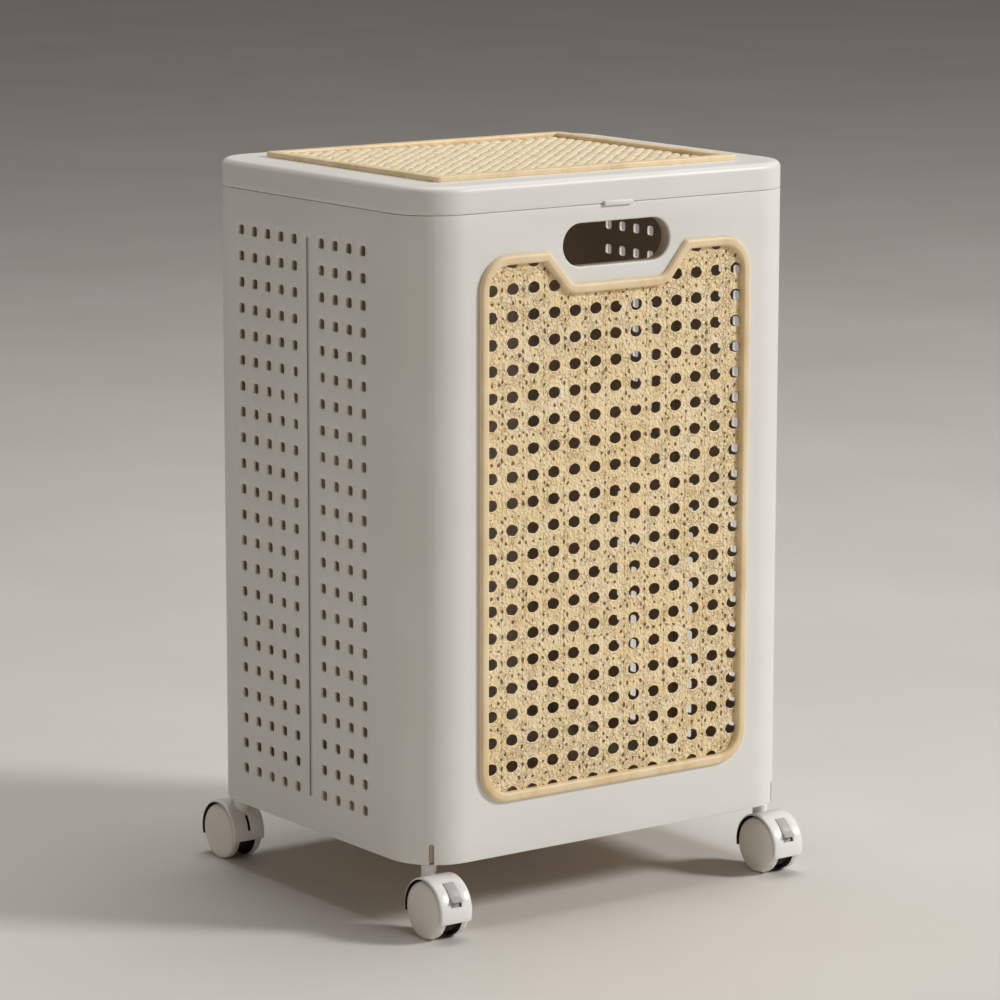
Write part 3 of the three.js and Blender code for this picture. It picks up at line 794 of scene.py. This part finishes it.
def wovenCane():
    # straw weave round the holes: soft knobbly relief with painted shade in the hollows between the knobs, and
    # small dark gaps in rows on the middle lines
    finish = Finish("wovenCane", Specular_IOR_Level=0.35)
    wander = finish.node("ShaderNodeTexNoise", (),
                         {"Vector": finish.place, "Scale": 170.0, "Detail": 2.0}, 1)
    drift = finish.node("ShaderNodeVectorMath", {"operation": "SCALE"}, {0: wander, "Scale": 0.0026})
    moved = finish.node("ShaderNodeVectorMath", {"operation": "ADD"}, {0: finish.place, 1: drift})
    parts = finish.node("ShaderNodeSeparateXYZ", (), {"Vector": moved}).socket.node.outputs
    u = ((Wire(finish, parts["X"]) * 1000.0 - 1.3) / cane["pitchX"]).fromMiddle()
    v = ((Wire(finish, parts["Z"]) * 1000.0 - cane["topRow"] - 1.3) / cane["pitchZ"]).fromMiddle()
    sideU, sideV = (0.5 - abs(u)) * cane["pitchX"], (0.5 - abs(v)) * cane["pitchZ"]
    thirdU = abs((u * 3.0).fromMiddle()) * (cane["pitchX"] / 3)
    thirdV = abs((v * 3.0).fromMiddle()) * (cane["pitchZ"] / 3)
    away = ((u * cane["pitchX"] / 1.19) ** 2.0 + (v * cane["pitchZ"]) ** 2.0) ** 0.5
    outside = finish.between(away, 4.9, 6.6, 0.25, 1.0)
    size = finish.between(finish.noise(230.0, 1.0), 0.4, 0.7, 0.1, 1.7)
    rowDots = ((sideV * 0.8) ** 2.0 + thirdU ** 2.0) ** 0.5
    columnDots = (sideU ** 2.0 + (thirdV * 0.7) ** 2.0) ** 0.5
    dots = finish.between(rowDots.least(columnDots) - size, -0.5, 0.35, 1.0, 0.0)
    seamOn = finish.between(finish.noise(48.0), 0.47, 0.56)
    seam = finish.between(sideU, 0.08, 0.45, 1.0, 0.0) * seamOn
    knobs = finish.node("ShaderNodeTexVoronoi", {"feature": "SMOOTH_F1"},
                        {"Vector": moved, "Scale": 360.0, "Smoothness": 0.5, "Randomness": 1.0})
    edges = finish.node("ShaderNodeTexVoronoi", {"feature": "DISTANCE_TO_EDGE"},
                        {"Vector": moved, "Scale": 270.0, "Randomness": 1.0})
    height, across = Wire(finish, parts["Z"]) * 1000.0, Wire(finish, parts["X"]) * 1000.0
    rougher = finish.between(height, 430.0, 560.0).greatest(finish.between(height, 120.0, 220.0, 1.0, 0.0))
    rougher = rougher.greatest(finish.between(across, 30.0, 130.0, 0.0, 0.8))
    patch = finish.between(finish.noise(120.0, 2.0) + 0.1 * rougher, 0.47, 0.66)
    cracks = finish.between(edges, 0.015, 0.13, 1.0, 0.0) * patch * outside
    fibres = finish.noise(1300.0, 3.0)
    cloud = finish.noise(40.0, 5.0, rough=0.65)
    straw = finish.ramp(cloud * 0.55 + fibres * 0.45,
                        *((stop, tint(*tone)) for stop, tone in caneLook["straw"]))
    # painted shade: darker in the hollows between the knobs
    knobHollowShade = finish.mix((knobs * 1.3).least(1.0) * caneLook["knobHollowShadeAmount"] * outside, straw, tint(*caneLook["knobHollowShade"]))
    creased = finish.mix(cracks * caneLook["cracked"], knobHollowShade, tint(*caneLook["crack"]))
    colour = finish.mix((dots * 0.88).greatest(seam * 0.5), creased, tint(*caneLook["gap"]))
    relief = fibres * 0.04 - knobs * 1.0 * outside - cracks * 0.5 - dots * 0.9
    return finish.feed(Base_Color=colour, Roughness=0.52 + 0.2 * dots,
                       Normal=finish.bump(relief, 1.0, 0.0013))


wovenStraw = wovenCane()
pieceOf("frontCane", caneMesh, wovenStraw, "body", "woven_cane", "front_cane")
print("front cane made:", len(caneMesh.polygons), "faces")


# The lid

lid = dict(
    low=604.4, high=627.4, edge=6.0, wall=2.5, plate=2.6, lip=0.5, pocketDepth=4.5, pocketFloor=2.5)
lidInset = dict(width=318.0, depth=258.0, corner=6.0, bar=11.0, low=623.2, high=631.9, clear=0.3)
tab = dict(halfWidth=15.0, low=602.4, high=606.5, back=165.3, front=167.7)
hinge = dict(
    x=110.0, y=170.6, z=604.0, radius=5.0, bore=2.1, lidWidth=25.0, bodyWidth=12.0, gap=0.2,
    lidWebHigh=609.0, bodyWeb=(599.0, 603.6))


def lidShell():
    skin = Skin()
    plan = rectangle(2 * body["halfWidth"], 2 * body["halfDepth"], body["corner"])
    clear, wall = lidInset["clear"], lid["wall"]
    pocket, tray = [rectangle(lidInset["width"] + 2 * grow, lidInset["depth"] + 2 * grow,
                              lidInset["corner"] + grow) for grow in (clear, clear + wall)]
    steps, inner = 16, wall + 0.3
    low, lip, ceiling = lid["low"], lid["lip"], lid["high"] - lid["plate"]
    profile = [(inner, ceiling), (wall, ceiling - 0.4), (wall, low + 0.3), (wall - 0.3, low), (lip, low),
               (0.15, low + 0.15), (0, low + lip), (0, low + 4)]
    profile += [(a, lid["high"] - b) for a, b in rounding(lid["edge"], 8)]
    profile += [(lid["edge"] + 1.5, lid["high"])]
    rings = [level(outline(plan, inwards, steps), z) for inwards, z in profile]
    pocketLow = lid["high"] - lid["pocketDepth"]
    rings += [level(outline(pocket, 0, steps), z) for z in (lid["high"], pocketLow)]
    skin.grid(rings, around=True)
    skin.fill(rings[-1])
    bottom = pocketLow - lid["pocketFloor"]
    under = [rings[0], *(level(outline(tray, 0, steps), z) for z in (ceiling, bottom))]
    return skin.grid(under, around=True).fill(under[-1])


def softBlock(x0, x1, y0, y1, z0, z1, soft=0.5):
    # a box with every edge rounded over
    skin = Skin()
    plan = rectangle(x1 - x0, y1 - y0, soft)
    middle = ((x0 + x1) / 2, (y0 + y1) / 2)
    quarter = rounding(soft, 3)
    profile = [(a, z0 + b) for a, b in quarter[::-1]] + [(a, z1 - b) for a, b in quarter]
    rings = [level(outline(plan, min(a, soft - 0.02), 3) + middle, z) for a, z in profile]
    skin.grid(rings, around=True)
    skin.fill(rings[0])
    return skin.fill(rings[-1])


def knuckle(left, right, webLow, webHigh):
    # a hinge barrel along x with a hole for the pin, and the web that ties it to the wall
    sides = 24
    turns = np.linspace(0, 2 * math.pi, sides + 1)[:-1]
    out, bore = hinge["radius"], hinge["bore"]
    profile = [(bore, left), (out - 0.4, left), (out, left + 0.4), (out, right - 0.4), (out - 0.4, right),
               (bore, right), (bore, left)]
    barrel = Skin().grid([np.column_stack((np.full(sides, x), hinge["y"] + radius * np.cos(turns),
                                           hinge["z"] + radius * np.sin(turns))) for radius, x in profile],
                         around=True)
    near, far = body["halfDepth"] - 1, hinge["y"] - bore - 0.4
    return barrel.add(softBlock(left, right, near, far, webLow, webHigh, 0.3))


def joined(*skins):
    whole = Skin()
    for skin in skins:
        whole.add(skin)
    return whole


half, back = tab["halfWidth"], -tab["back"]
lidParts = [lidShell(), softBlock(-half, half, -tab["front"], back, tab["low"], tab["high"], 0.9),
            softBlock(-half, half, back - 0.6, back + 1, lid["low"], tab["high"], 0.1)]
bodyKnuckles = []
for side in (-1, 1):
    halfLid, half = hinge["lidWidth"] / 2, hinge["bodyWidth"] / 2
    lidParts.append(knuckle(side * hinge["x"] - halfLid, side * hinge["x"] + halfLid, lid["low"],
                            hinge["lidWebHigh"]))
    for end in (-1, 1):
        middle = side * hinge["x"] + end * (halfLid + half + hinge["gap"])
        bodyKnuckles.append(knuckle(middle - half + hinge["gap"], middle + half - hinge["gap"],
                                    *hinge["bodyWeb"]))
lidMesh = soften(meshOf("lidShell", joined(*lidParts)))
pieceOf("lidShell", lidMesh, shellWhite, "lid", "white_shell", "lid_shell")
earsMesh = soften(meshOf("hingeEars", joined(*bodyKnuckles)))
pieceOf("hingeEars", earsMesh, shellWhite, "body", "white_shell")
print("lid made")


def lidBezel():
    skin = Skin()
    corners = rectangle(lidInset["width"], lidInset["depth"], lidInset["corner"])
    low, high, bar = lidInset["low"], lidInset["high"], lidInset["bar"]
    profile = [(0.4, low), (0, low + 0.4)] + [(a, high - b) for a, b in rounding(0.9, 4)]
    profile += [(bar / 2, high)] + [(bar - a, high - b) for a, b in rounding(1.6, 5)[::-1]]
    profile += [(bar, low + 0.4), (bar - 0.4, low)]
    rings = [level(outline(corners, inwards, 6), z) for inwards, z in profile]
    return skin.grid(rings + [rings[0]], around=True)


lidBezelMesh = soften(meshOf("lidBezel", lidBezel()), 50)
pieceOf("lidBezel", lidBezelMesh, strawBezel, "lid", "straw_frame", "lid_frame")

strands = dict(
    pitch=9.0, turn=45.0, width=10.6, height=4.2, middle=626.8, step=2.6, clear=0.7,
    bulge=0.2, bulgeScale=75.0, sides=10, seed=7, rise=2.2, base=623.2, backing=627.1)


def strandLines():
    # the middle line of each strand, cut to the space inside the bezel, with ends that taper off
    halfX = lidInset["width"] / 2 - lidInset["bar"] - strands["clear"]
    halfY = lidInset["depth"] / 2 - lidInset["bar"] - strands["clear"]
    turn = math.radians(strands["turn"])
    along = np.array((math.cos(turn), math.sin(turn)))
    across = np.array((-along[1], along[0]))
    reach = halfX * abs(across[0]) + halfY * abs(across[1])
    points, edges, tapers = [], [], []
    for offset in np.arange(-reach + strands["pitch"] * 0.6, reach, strands["pitch"]):
        low, high = -1e9, 1e9
        for axis, half in ((0, halfX), (1, halfY)):
            ends = sorted((end * half - offset * across[axis]) / along[axis] for end in (-1, 1))
            low, high = max(low, ends[0]), min(high, ends[1])
        if high - low < 8:
            continue
        count = max(4, int((high - low) / strands["step"]))
        start = len(points)
        for k in range(count + 1):
            place = low + (high - low) * k / count
            middle = along * place + across * offset
            points.append((middle[0] / 1000, middle[1] / 1000, 0))
            near = min(place - low, high - place) / 4.5
            tapers.append(math.sqrt(max(0.0, 1 - (1 - min(near, 1)) ** 2)) * 0.9 + 0.1)
            if k:
                edges.append((start + k - 1, start + k))
    mesh = bpy.data.meshes.new("strandLines")
    mesh.from_pydata(points, edges, [])
    mesh.attributes.new("taper", "FLOAT", "POINT").data.foreach_set("value", tapers)
    return mesh


def strandTree():
    # each line becomes a soft strand that swells and narrows along its length
    growth = Growth("strandsOnLines", {
        "Lines": "Geometry", "Width": "Float", "Height": "Float", "Bulge": "Float",
        "Bulge Scale": "Float", "Sides": "Int", "Seed": "Float", "Low": "Float", "Finish": "Material"})
    given, node = growth.given, growth.node
    curve = node("GeometryNodeMeshToCurve", (), {0: given["Lines"]})
    noise = node("ShaderNodeTexNoise", {"noise_dimensions": "4D"},
                 {"W": given["Seed"], "Scale": given["Bulge Scale"], "Detail": 1.0})
    swell = node("ShaderNodeMapRange", (), {
        "Value": noise, "From Min": 0.3, "From Max": 0.7,
        "To Min": 1.0 - given["Bulge"], "To Max": 1.0 + given["Bulge"]})
    taper = node("GeometryNodeInputNamedAttribute", {"data_type": "FLOAT"}, {"Name": "taper"})
    radius = swell * taper * (given["Width"] * 0.5)
    circle = node("GeometryNodeCurvePrimitiveCircle", (), {"Resolution": given["Sides"], "Radius": 1.0})
    shape = node("GeometryNodeCurveToMesh", (), {
        "Curve": curve, "Profile Curve": circle, "Scale": radius, "Fill Caps": True})
    flatter = node("ShaderNodeCombineXYZ", (),
                   {"X": 1.0, "Y": 1.0, "Z": given["Height"] / given["Width"]})
    lift = node("ShaderNodeCombineXYZ", (), {"Z": given["Low"]})
    return growth.ended(node("GeometryNodeTransform", (), {
        "Geometry": shape, "Scale": flatter, "Translation": lift}))


# deep is the brown painted shade low down between the strands
strandLook = dict(
    straw=((0.3, (216, 196, 159)), (0.5, (234, 218, 185)), (0.7, (243, 232, 207))), deep=(126, 88, 46))


def twistedStraw():
    # straw strands: fibres along each strand, slanting creases, and brown painted shade low down where two
    # strands meet
    finish = Finish("twistedStraw", Specular_IOR_Level=0.4)
    turn = -math.radians(strands["turn"])
    fibres = finish.noise(900.0, 3.0, finish.stretched((0.07, 1.0, 0.3), turn))
    blotches = finish.noise(75.0, 4.0, rough=0.6)
    creases = finish.noise(210.0, 2.0, finish.stretched((0.35, 1.0, 1.0), turn + 0.5))
    crease = finish.between(creases, 0.34, 0.44, 1.0, 0.0)
    straw = finish.ramp(0.5 * blotches + 0.5 * fibres,
                        *((stop, tint(*tone)) for stop, tone in strandLook["straw"]))
    rising = finish.between(finish.along("X") * 1000.0, -150.0, 40.0, 1.0, 0.0) * strands["rise"]
    # painted shade: brown low down near the backing, where two strands meet
    deep = finish.between(finish.along("Z") * 1000.0 - rising, strands["backing"] + 0.1,
                          strands["backing"] + 0.7, 1.0, 0.0)
    shade = (crease * 0.3).greatest(deep * 0.9)
    colour = finish.mix(shade, straw, tint(*strandLook["deep"]))
    return finish.feed(Base_Color=colour, Roughness=0.52 + 0.2 * fibres,
                       Normal=finish.bump(fibres * 0.5 - crease * 0.6, 0.5, 0.0005))


strandStraw = twistedStraw()
strandValues = {
    "Width": strands["width"] / 1000, "Height": strands["height"] / 1000, "Bulge": strands["bulge"],
    "Bulge Scale": strands["bulgeScale"], "Sides": strands["sides"], "Seed": float(strands["seed"]),
    "Low": strands["middle"] / 1000, "Finish": strandStraw}
strandMesh = grown(strandTree(), "strands", strandValues, strandLines())
plateX, plateY = [lidInset[side] / 2 - lidInset["bar"] - 0.3 for side in ("width", "depth")]
base = strands["base"]


def acrossPlate(x):
    return [(x, y, z) for y, z in ((-plateY, base), (-plateY, strands["backing"]),
                                   (plateY, strands["backing"]), (plateY, base))]


weave = Skin().grid([acrossPlate(x) for x in np.linspace(-plateX, plateX, 25)], around=True)
weave.face(acrossPlate(-plateX)).face(acrossPlate(plateX)).take(*pointsAndFaces(strandMesh))


def lifted(points):
    # the mat stands a little higher on its left
    rising = np.clip((40 - points[:, 0]) / 190, 0, 1)
    upper = np.clip((points[:, 2] - base) / 3, 0, 1)
    points[:, 2] += strands["rise"] * upper * rising * rising * (3 - 2 * rising)
    return points


weaveMesh = soften(meshOf("lidWeave", weave.moved(lifted), merge=0.001), 60)
pieceOf("lidWeave", weaveMesh, strandStraw, "lid", "woven_cane", "lid_cane")
print("lid weave made:", len(weaveMesh.polygons), "faces")


# Casters: the stem's axis is x = y = 0 and the wheels trail towards -y

caster = dict(
    stemX=179.0, stemY=145.0, trail=13.5, wheelRadius=24.5, hoodLift=0.7, hoodInner=25.8, hoodWall=1.6,
    hoodHalf=16.0, frontDrop=17.0, backDrop=12.0, shoulder=1.8, neckRadius=6.5, neckLow=41.0, neckHigh=60.4,
    coreRadius=20.5, coreHalf=7.4, wheelInner=7.9, wheelWidth=8.1, dome=1.3, axle=2.5, axleEnd=6.4,
    neckBore=4.2, neckMiddle=52.5)
brake = dict(
    half=5.2, clear=0.5, windowLow=12.0, low=20.0, high=60.0, proud=0.8, toe=3.4, toeAngle=8.0, fingerLow=8.5,
    pivotRadius=1.7, pivotAngle=63.0, pivotDepth=22.6)
slit = dict(half=1.6, low=6.0, high=40.5)


def onHood(radius, degrees, x):
    # degrees are measured up from level at the front of the hood
    turn = math.radians(180 - degrees)
    return (x, radius * math.cos(turn) - caster["trail"],
            radius * math.sin(turn) + caster["wheelRadius"] + caster["hoodLift"])


def casterHood():
    # the outer face of the hood, open at the lever and at the slit, to be given its thickness
    outer, half, soft = caster["hoodInner"] + caster["hoodWall"], caster["hoodHalf"], caster["shoulder"]
    lines = [(-half, soft * 0.9), (-half + 0.25, soft * 0.45), (-half + 0.8, soft * 0.16), (-half + 1.8, 0)]
    window = brake["half"] + brake["clear"]
    middle = [-window, -slit["half"], slit["half"], window]
    across = lines + [(x, 0) for x in middle] + [(-x, drop) for x, drop in lines[::-1]]
    stops = {-caster["frontDrop"], 180 + caster["backDrop"], brake["windowLow"], brake["high"] + 1.5,
             180 - slit["high"], 180 - slit["low"]}
    angles = sorted(stops | {a for a in np.arange(-12, 192, 5) if min(abs(a - s) for s in stops) > 1.6})
    skip = set()
    for row, (low, high) in enumerate(zip(angles, angles[1:])):
        centre = (low + high) / 2
        if brake["windowLow"] < centre < brake["high"] + 1.5:
            skip.update({(row, 4), (row, 5), (row, 6)})
        if 180 - slit["high"] < centre < 180 - slit["low"]:
            skip.add((row, 5))
    rows = [[onHood(outer - drop, a, x) for x, drop in across] for a in angles]
    return Skin().grid(rows, skip=skip)


def turned(profile, steps=48, axis="z"):
    # a profile of (radius, height) spun round z, or round x for wheels
    skin = Skin()
    turns = np.linspace(0, 2 * math.pi, steps + 1)[:-1]
    rows = []
    for radius, height in profile:
        c, s = radius * np.cos(turns), radius * np.sin(turns)
        h = np.full(steps, height)
        rows.append(np.column_stack((c, s, h) if axis == "z" else (h, c, s)))
    return skin.grid(rows, around=True)


def casterNeck():
    r, low, high, bore = caster["neckRadius"], caster["neckLow"], caster["neckHigh"], caster["neckBore"]
    return turned([(bore, low), (r, low), (r, caster["neckMiddle"]), (r, high - 0.8), (r - 0.25, high - 0.25),
                   (r - 0.8, high), (bore + 0.3, high), (bore, high - 0.3), (bore, low)])


def wheel(side):
    # tread with rounded edges, and a slightly domed face with a soft step near its rim
    r, width, dome = caster["wheelRadius"], caster["wheelWidth"], caster["dome"]
    bore, end = caster["axle"] + 0.1, caster["axleEnd"]
    profile = [(0.01, end), (bore, end), (bore, 0), (r - 1.0, 0), (r - 0.3, 0.3), (r, 1.0), (r, width - 3.2),
               (r - 0.25, width - 2.1), (r - 0.75, width - 1.2), (r - 1.5, width - 0.55), (r - 2.6, width - 0.1),
               (r * 0.8, width + dome * 0.35), (r * 0.6, width + dome * 0.65), (r * 0.35, width + dome * 0.88),
               (r * 0.12, width + dome * 0.99), (0.01, width + dome)]
    return turned(profile, 64, "x").moved(lambda p: p * (side, 1, 1) + (
        side * caster["wheelInner"], -caster["trail"], caster["wheelRadius"]))


def core():
    r, half = caster["coreRadius"], caster["coreHalf"]
    profile = [(3.0, -half), (r - 0.5, -half), (r, -half + 0.5), (r, half - 0.5), (r - 0.5, half), (3.0, half),
               (3.0, -half)]
    return turned(profile, 48, "x").moved(lambda p: p + (0, -caster["trail"], caster["wheelRadius"]))


def brakeFinger():
    # a thin curved blade under the pedal, between the wheels, that the pedal presses towards the core
    angles = np.linspace(brake["fingerLow"], brake["low"] + 3, 6)
    half, outer, inner = brake["half"], caster["hoodInner"] - 0.8, caster["hoodInner"] - 2.0
    rows = [[onHood(r, a, x) for x, r in ((half, inner), (half, outer), (-half, outer), (-half, inner))]
            for a in angles]
    return Skin().grid(rows, around=True).face(rows[0]).face(rows[-1])


def leverStrip():
    # the pedal: a strip that follows the hood, with a lip to press at its lower end
    inner = caster["hoodInner"]
    outer = inner + caster["hoodWall"] + brake["proud"]
    half, soft = brake["half"], 0.6
    rows = []
    for a in np.linspace(brake["low"], brake["high"], 13):
        lipShare = max(0.0, 1 - (a - brake["low"]) / brake["toeAngle"])
        top = outer + (brake["toe"] * lipShare ** 0.7 if lipShare > 0 else 0)
        ring = [(half, inner), (half, top - soft), (half - soft * 0.3, top - soft * 0.3), (half - soft, top),
                (-half + soft, top), (-half + soft * 0.3, top - soft * 0.3), (-half, top - soft), (-half, inner)]
        rows.append([onHood(r, a, x) for x, r in ring])
    skin = Skin().grid(rows, around=True).face(rows[0]).face(rows[-1])
    thick = brake["pivotRadius"]
    barrel = turned([(0.01, -half), (thick, -half), (thick, half), (0.01, half)], 20, "x")
    skin.add(barrel, lambda p: p + onHood(brake["pivotDepth"], brake["pivotAngle"], 0))
    rear, front, deep = brake["high"] - 7, brake["high"] - 1, brake["pivotDepth"] - 1
    corners = ((rear, deep), (rear, inner + 0.5), (front, inner + 0.5), (front, deep))
    web = [[onHood(r, a, x) for a, r in corners] for x in (-half, half)]
    return skin.grid(web, around=True).face(web[0]).face(web[1]).add(brakeFinger())


hoodSheet = meshOf("hood", casterHood(), outward=False)
hoodWall = dict(thickness=caster["hoodWall"] / 1000, offset=-1.0)
hoodEdge = dict(width=0.0004, segments=2, limit_method="ANGLE", angle_limit=math.radians(40))
hoodThick = modified(hoodSheet, ("SOLIDIFY", hoodWall), ("BEVEL", hoodEdge))
hoodAndNeck = Skin().take(*pointsAndFaces(hoodThick)).add(casterNeck())


def makeCaster(place, sideX, sideY):
    def put(points):
        turn = -1 if sideY > 0 else 1
        return points * (turn, turn, 1) + (sideX * caster["stemX"], sideY * caster["stemY"], 0)

    def shaped(name, skin, material, bodyName, slot, node, paintedShade=None):
        mesh = soften(meshOf(f"{name}_{place}", skin.moved(put), merge=0.005), 40)
        pieceOf(f"{name}_{place}", mesh, material, bodyName, slot, node)
        if paintedShade:
            # painted shade: faces inside the hood and the wheels' inner faces are made black
            mesh.materials.append(coreBlack)
            axle = Vector(put(np.array([[0.0, -caster["trail"], caster["wheelRadius"]]]))[0] / 1000)
            for polygon in mesh.polygons:
                polygon.material_index = int(paintedShade((polygon.center - axle) * 1000, polygon.normal))

    # where black is painted as shade: the inside of the hood, and the wheels' faces towards the core
    def hoodInsideShade(arm, normal):
        onInner = abs(math.hypot(arm.y, arm.z) - caster["hoodInner"]) < 0.6
        return onInner and arm.y * normal.y + arm.z * normal.z < 0 and abs(normal.x) < 0.5

    def wheelInsideShade(arm, normal):
        isNear = abs(arm.x) < caster["wheelInner"] + 0.2
        return isNear and math.hypot(arm.y, arm.z) < caster["wheelRadius"] - 0.6

    rides, pressed = f"caster_{place}", f"brake_{place}"
    shaped("hood", hoodAndNeck, casterWhite, rides, "caster_white", f"caster_hood_{place}", hoodInsideShade)
    shaped("core", core(), coreBlack, rides, "caster_core", f"caster_core_{place}")
    shaped("brakePedal", leverStrip(), leverGrey, pressed, "brake_lever", f"brake_lever_{place}")
    for side, hand in ((-1, "a"), (1, "b")):
        rides = f"wheel_{place}_{hand}"
        shaped(f"wheel{hand.upper()}", wheel(side), wheelWhite, rides, "caster_white", rides, wheelInsideShade)


allPlaces = dict(front_left=(-1, -1), front_right=(1, -1), rear_left=(-1, 1), rear_right=(1, 1))
for place, (sideX, sideY) in allPlaces.items():
    makeCaster(place, sideX, sideY)
print("casters made")


# Parts that keep their working shape

def repaint(material, *names):
    for name in names:
        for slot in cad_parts[name].material_slots:
            slot.material = material


repaint(trayWhite, "base_tray")
repaint(brushedMetal, "hinge_pin_left", "hinge_pin_right")
for kind in ("caster_stem", "grip_ring", "wheel_axle"):
    repaint(brushedMetal, *(f"{kind}_{place}" for place in allPlaces))


# Camera, floor and lights

def placed(name, data):
    thing = bpy.data.objects.new(name, data)
    scene.collection.objects.link(thing)
    return thing


view = dict(
    place=(-2.15341, -2.94982, 1.00074), yaw=-36.128, pitch=10.444, roll=0.093, lens=152.72)
cameraData = bpy.data.cameras.new("camera")
cameraData.lens, cameraData.sensor_width, cameraData.clip_end = view["lens"], 36.0, 50.0
camera = scene.camera = placed("camera", cameraData)
camera.location = view["place"]
turns = ((view["yaw"], "Z"), (90 - view["pitch"], "X"), (view["roll"], "Z"))
yaw, pitch, roll = [Matrix.Rotation(math.radians(angle), 4, axis) for angle, axis in turns]
camera.rotation_euler = (yaw @ pitch @ roll).to_euler()

studio = dict(
    floorReach=30, floor=((222, 219, 213), (229, 226, 221)), air=(0.64, 0.6, 0.555, 1), airStrength=0.2,
    lookAt=(0, 0, 0.3))
reach = studio["floorReach"]
floorMesh = bpy.data.meshes.new("floor")
floorMesh.from_pydata([(-reach, -reach, 0), (reach, -reach, 0), (reach, reach, 0), (-reach, reach, 0)],
                      [], [(0, 1, 2, 3)])
floorFinish = Finish("floorPale")
floorTone = floorFinish.ramp(floorFinish.noise(2.2, 5.0), (0.3, tint(*studio["floor"][0])),
                             (0.7, tint(*studio["floor"][1])))
floorRough = 0.55 + 0.1 * floorFinish.noise(40.0)
floorMesh.materials.append(floorFinish.feed(Base_Color=floorTone, Roughness=floorRough))
placed("floor", floorMesh)

lights = dict(
    key=dict(place=(5.6, -5.3, 4.4), size=1.9, power=497.0, colour=(1.0, 0.997, 0.985)),
    top=dict(place=(0.4, 0.3, 3.6), size=2.2, power=52.0, colour=(1.0, 0.985, 0.96)),
    fill=dict(place=(-3.6, -1.0, 1.4), size=2.6, power=11.0, colour=(1.0, 0.9, 0.8)))
for name, light in lights.items():
    lamp = bpy.data.lights.new(name, "AREA")
    lamp.shape = "DISK"
    lamp.size, lamp.energy, lamp.color = light["size"], light["power"], light["colour"]
    lampObject = placed(name, lamp)
    lampObject.location = light["place"]
    aim = Vector(studio["lookAt"]) - Vector(light["place"])
    lampObject.rotation_euler = aim.to_track_quat("-Z", "Y").to_euler()

scene.world = bpy.data.worlds.new("studio")
scene.world.use_nodes = True
air = scene.world.node_tree.nodes["Background"].inputs
air["Color"].default_value, air["Strength"].default_value = studio["air"], studio["airStrength"]
scene.view_settings.view_transform = "Standard"

print("ready")
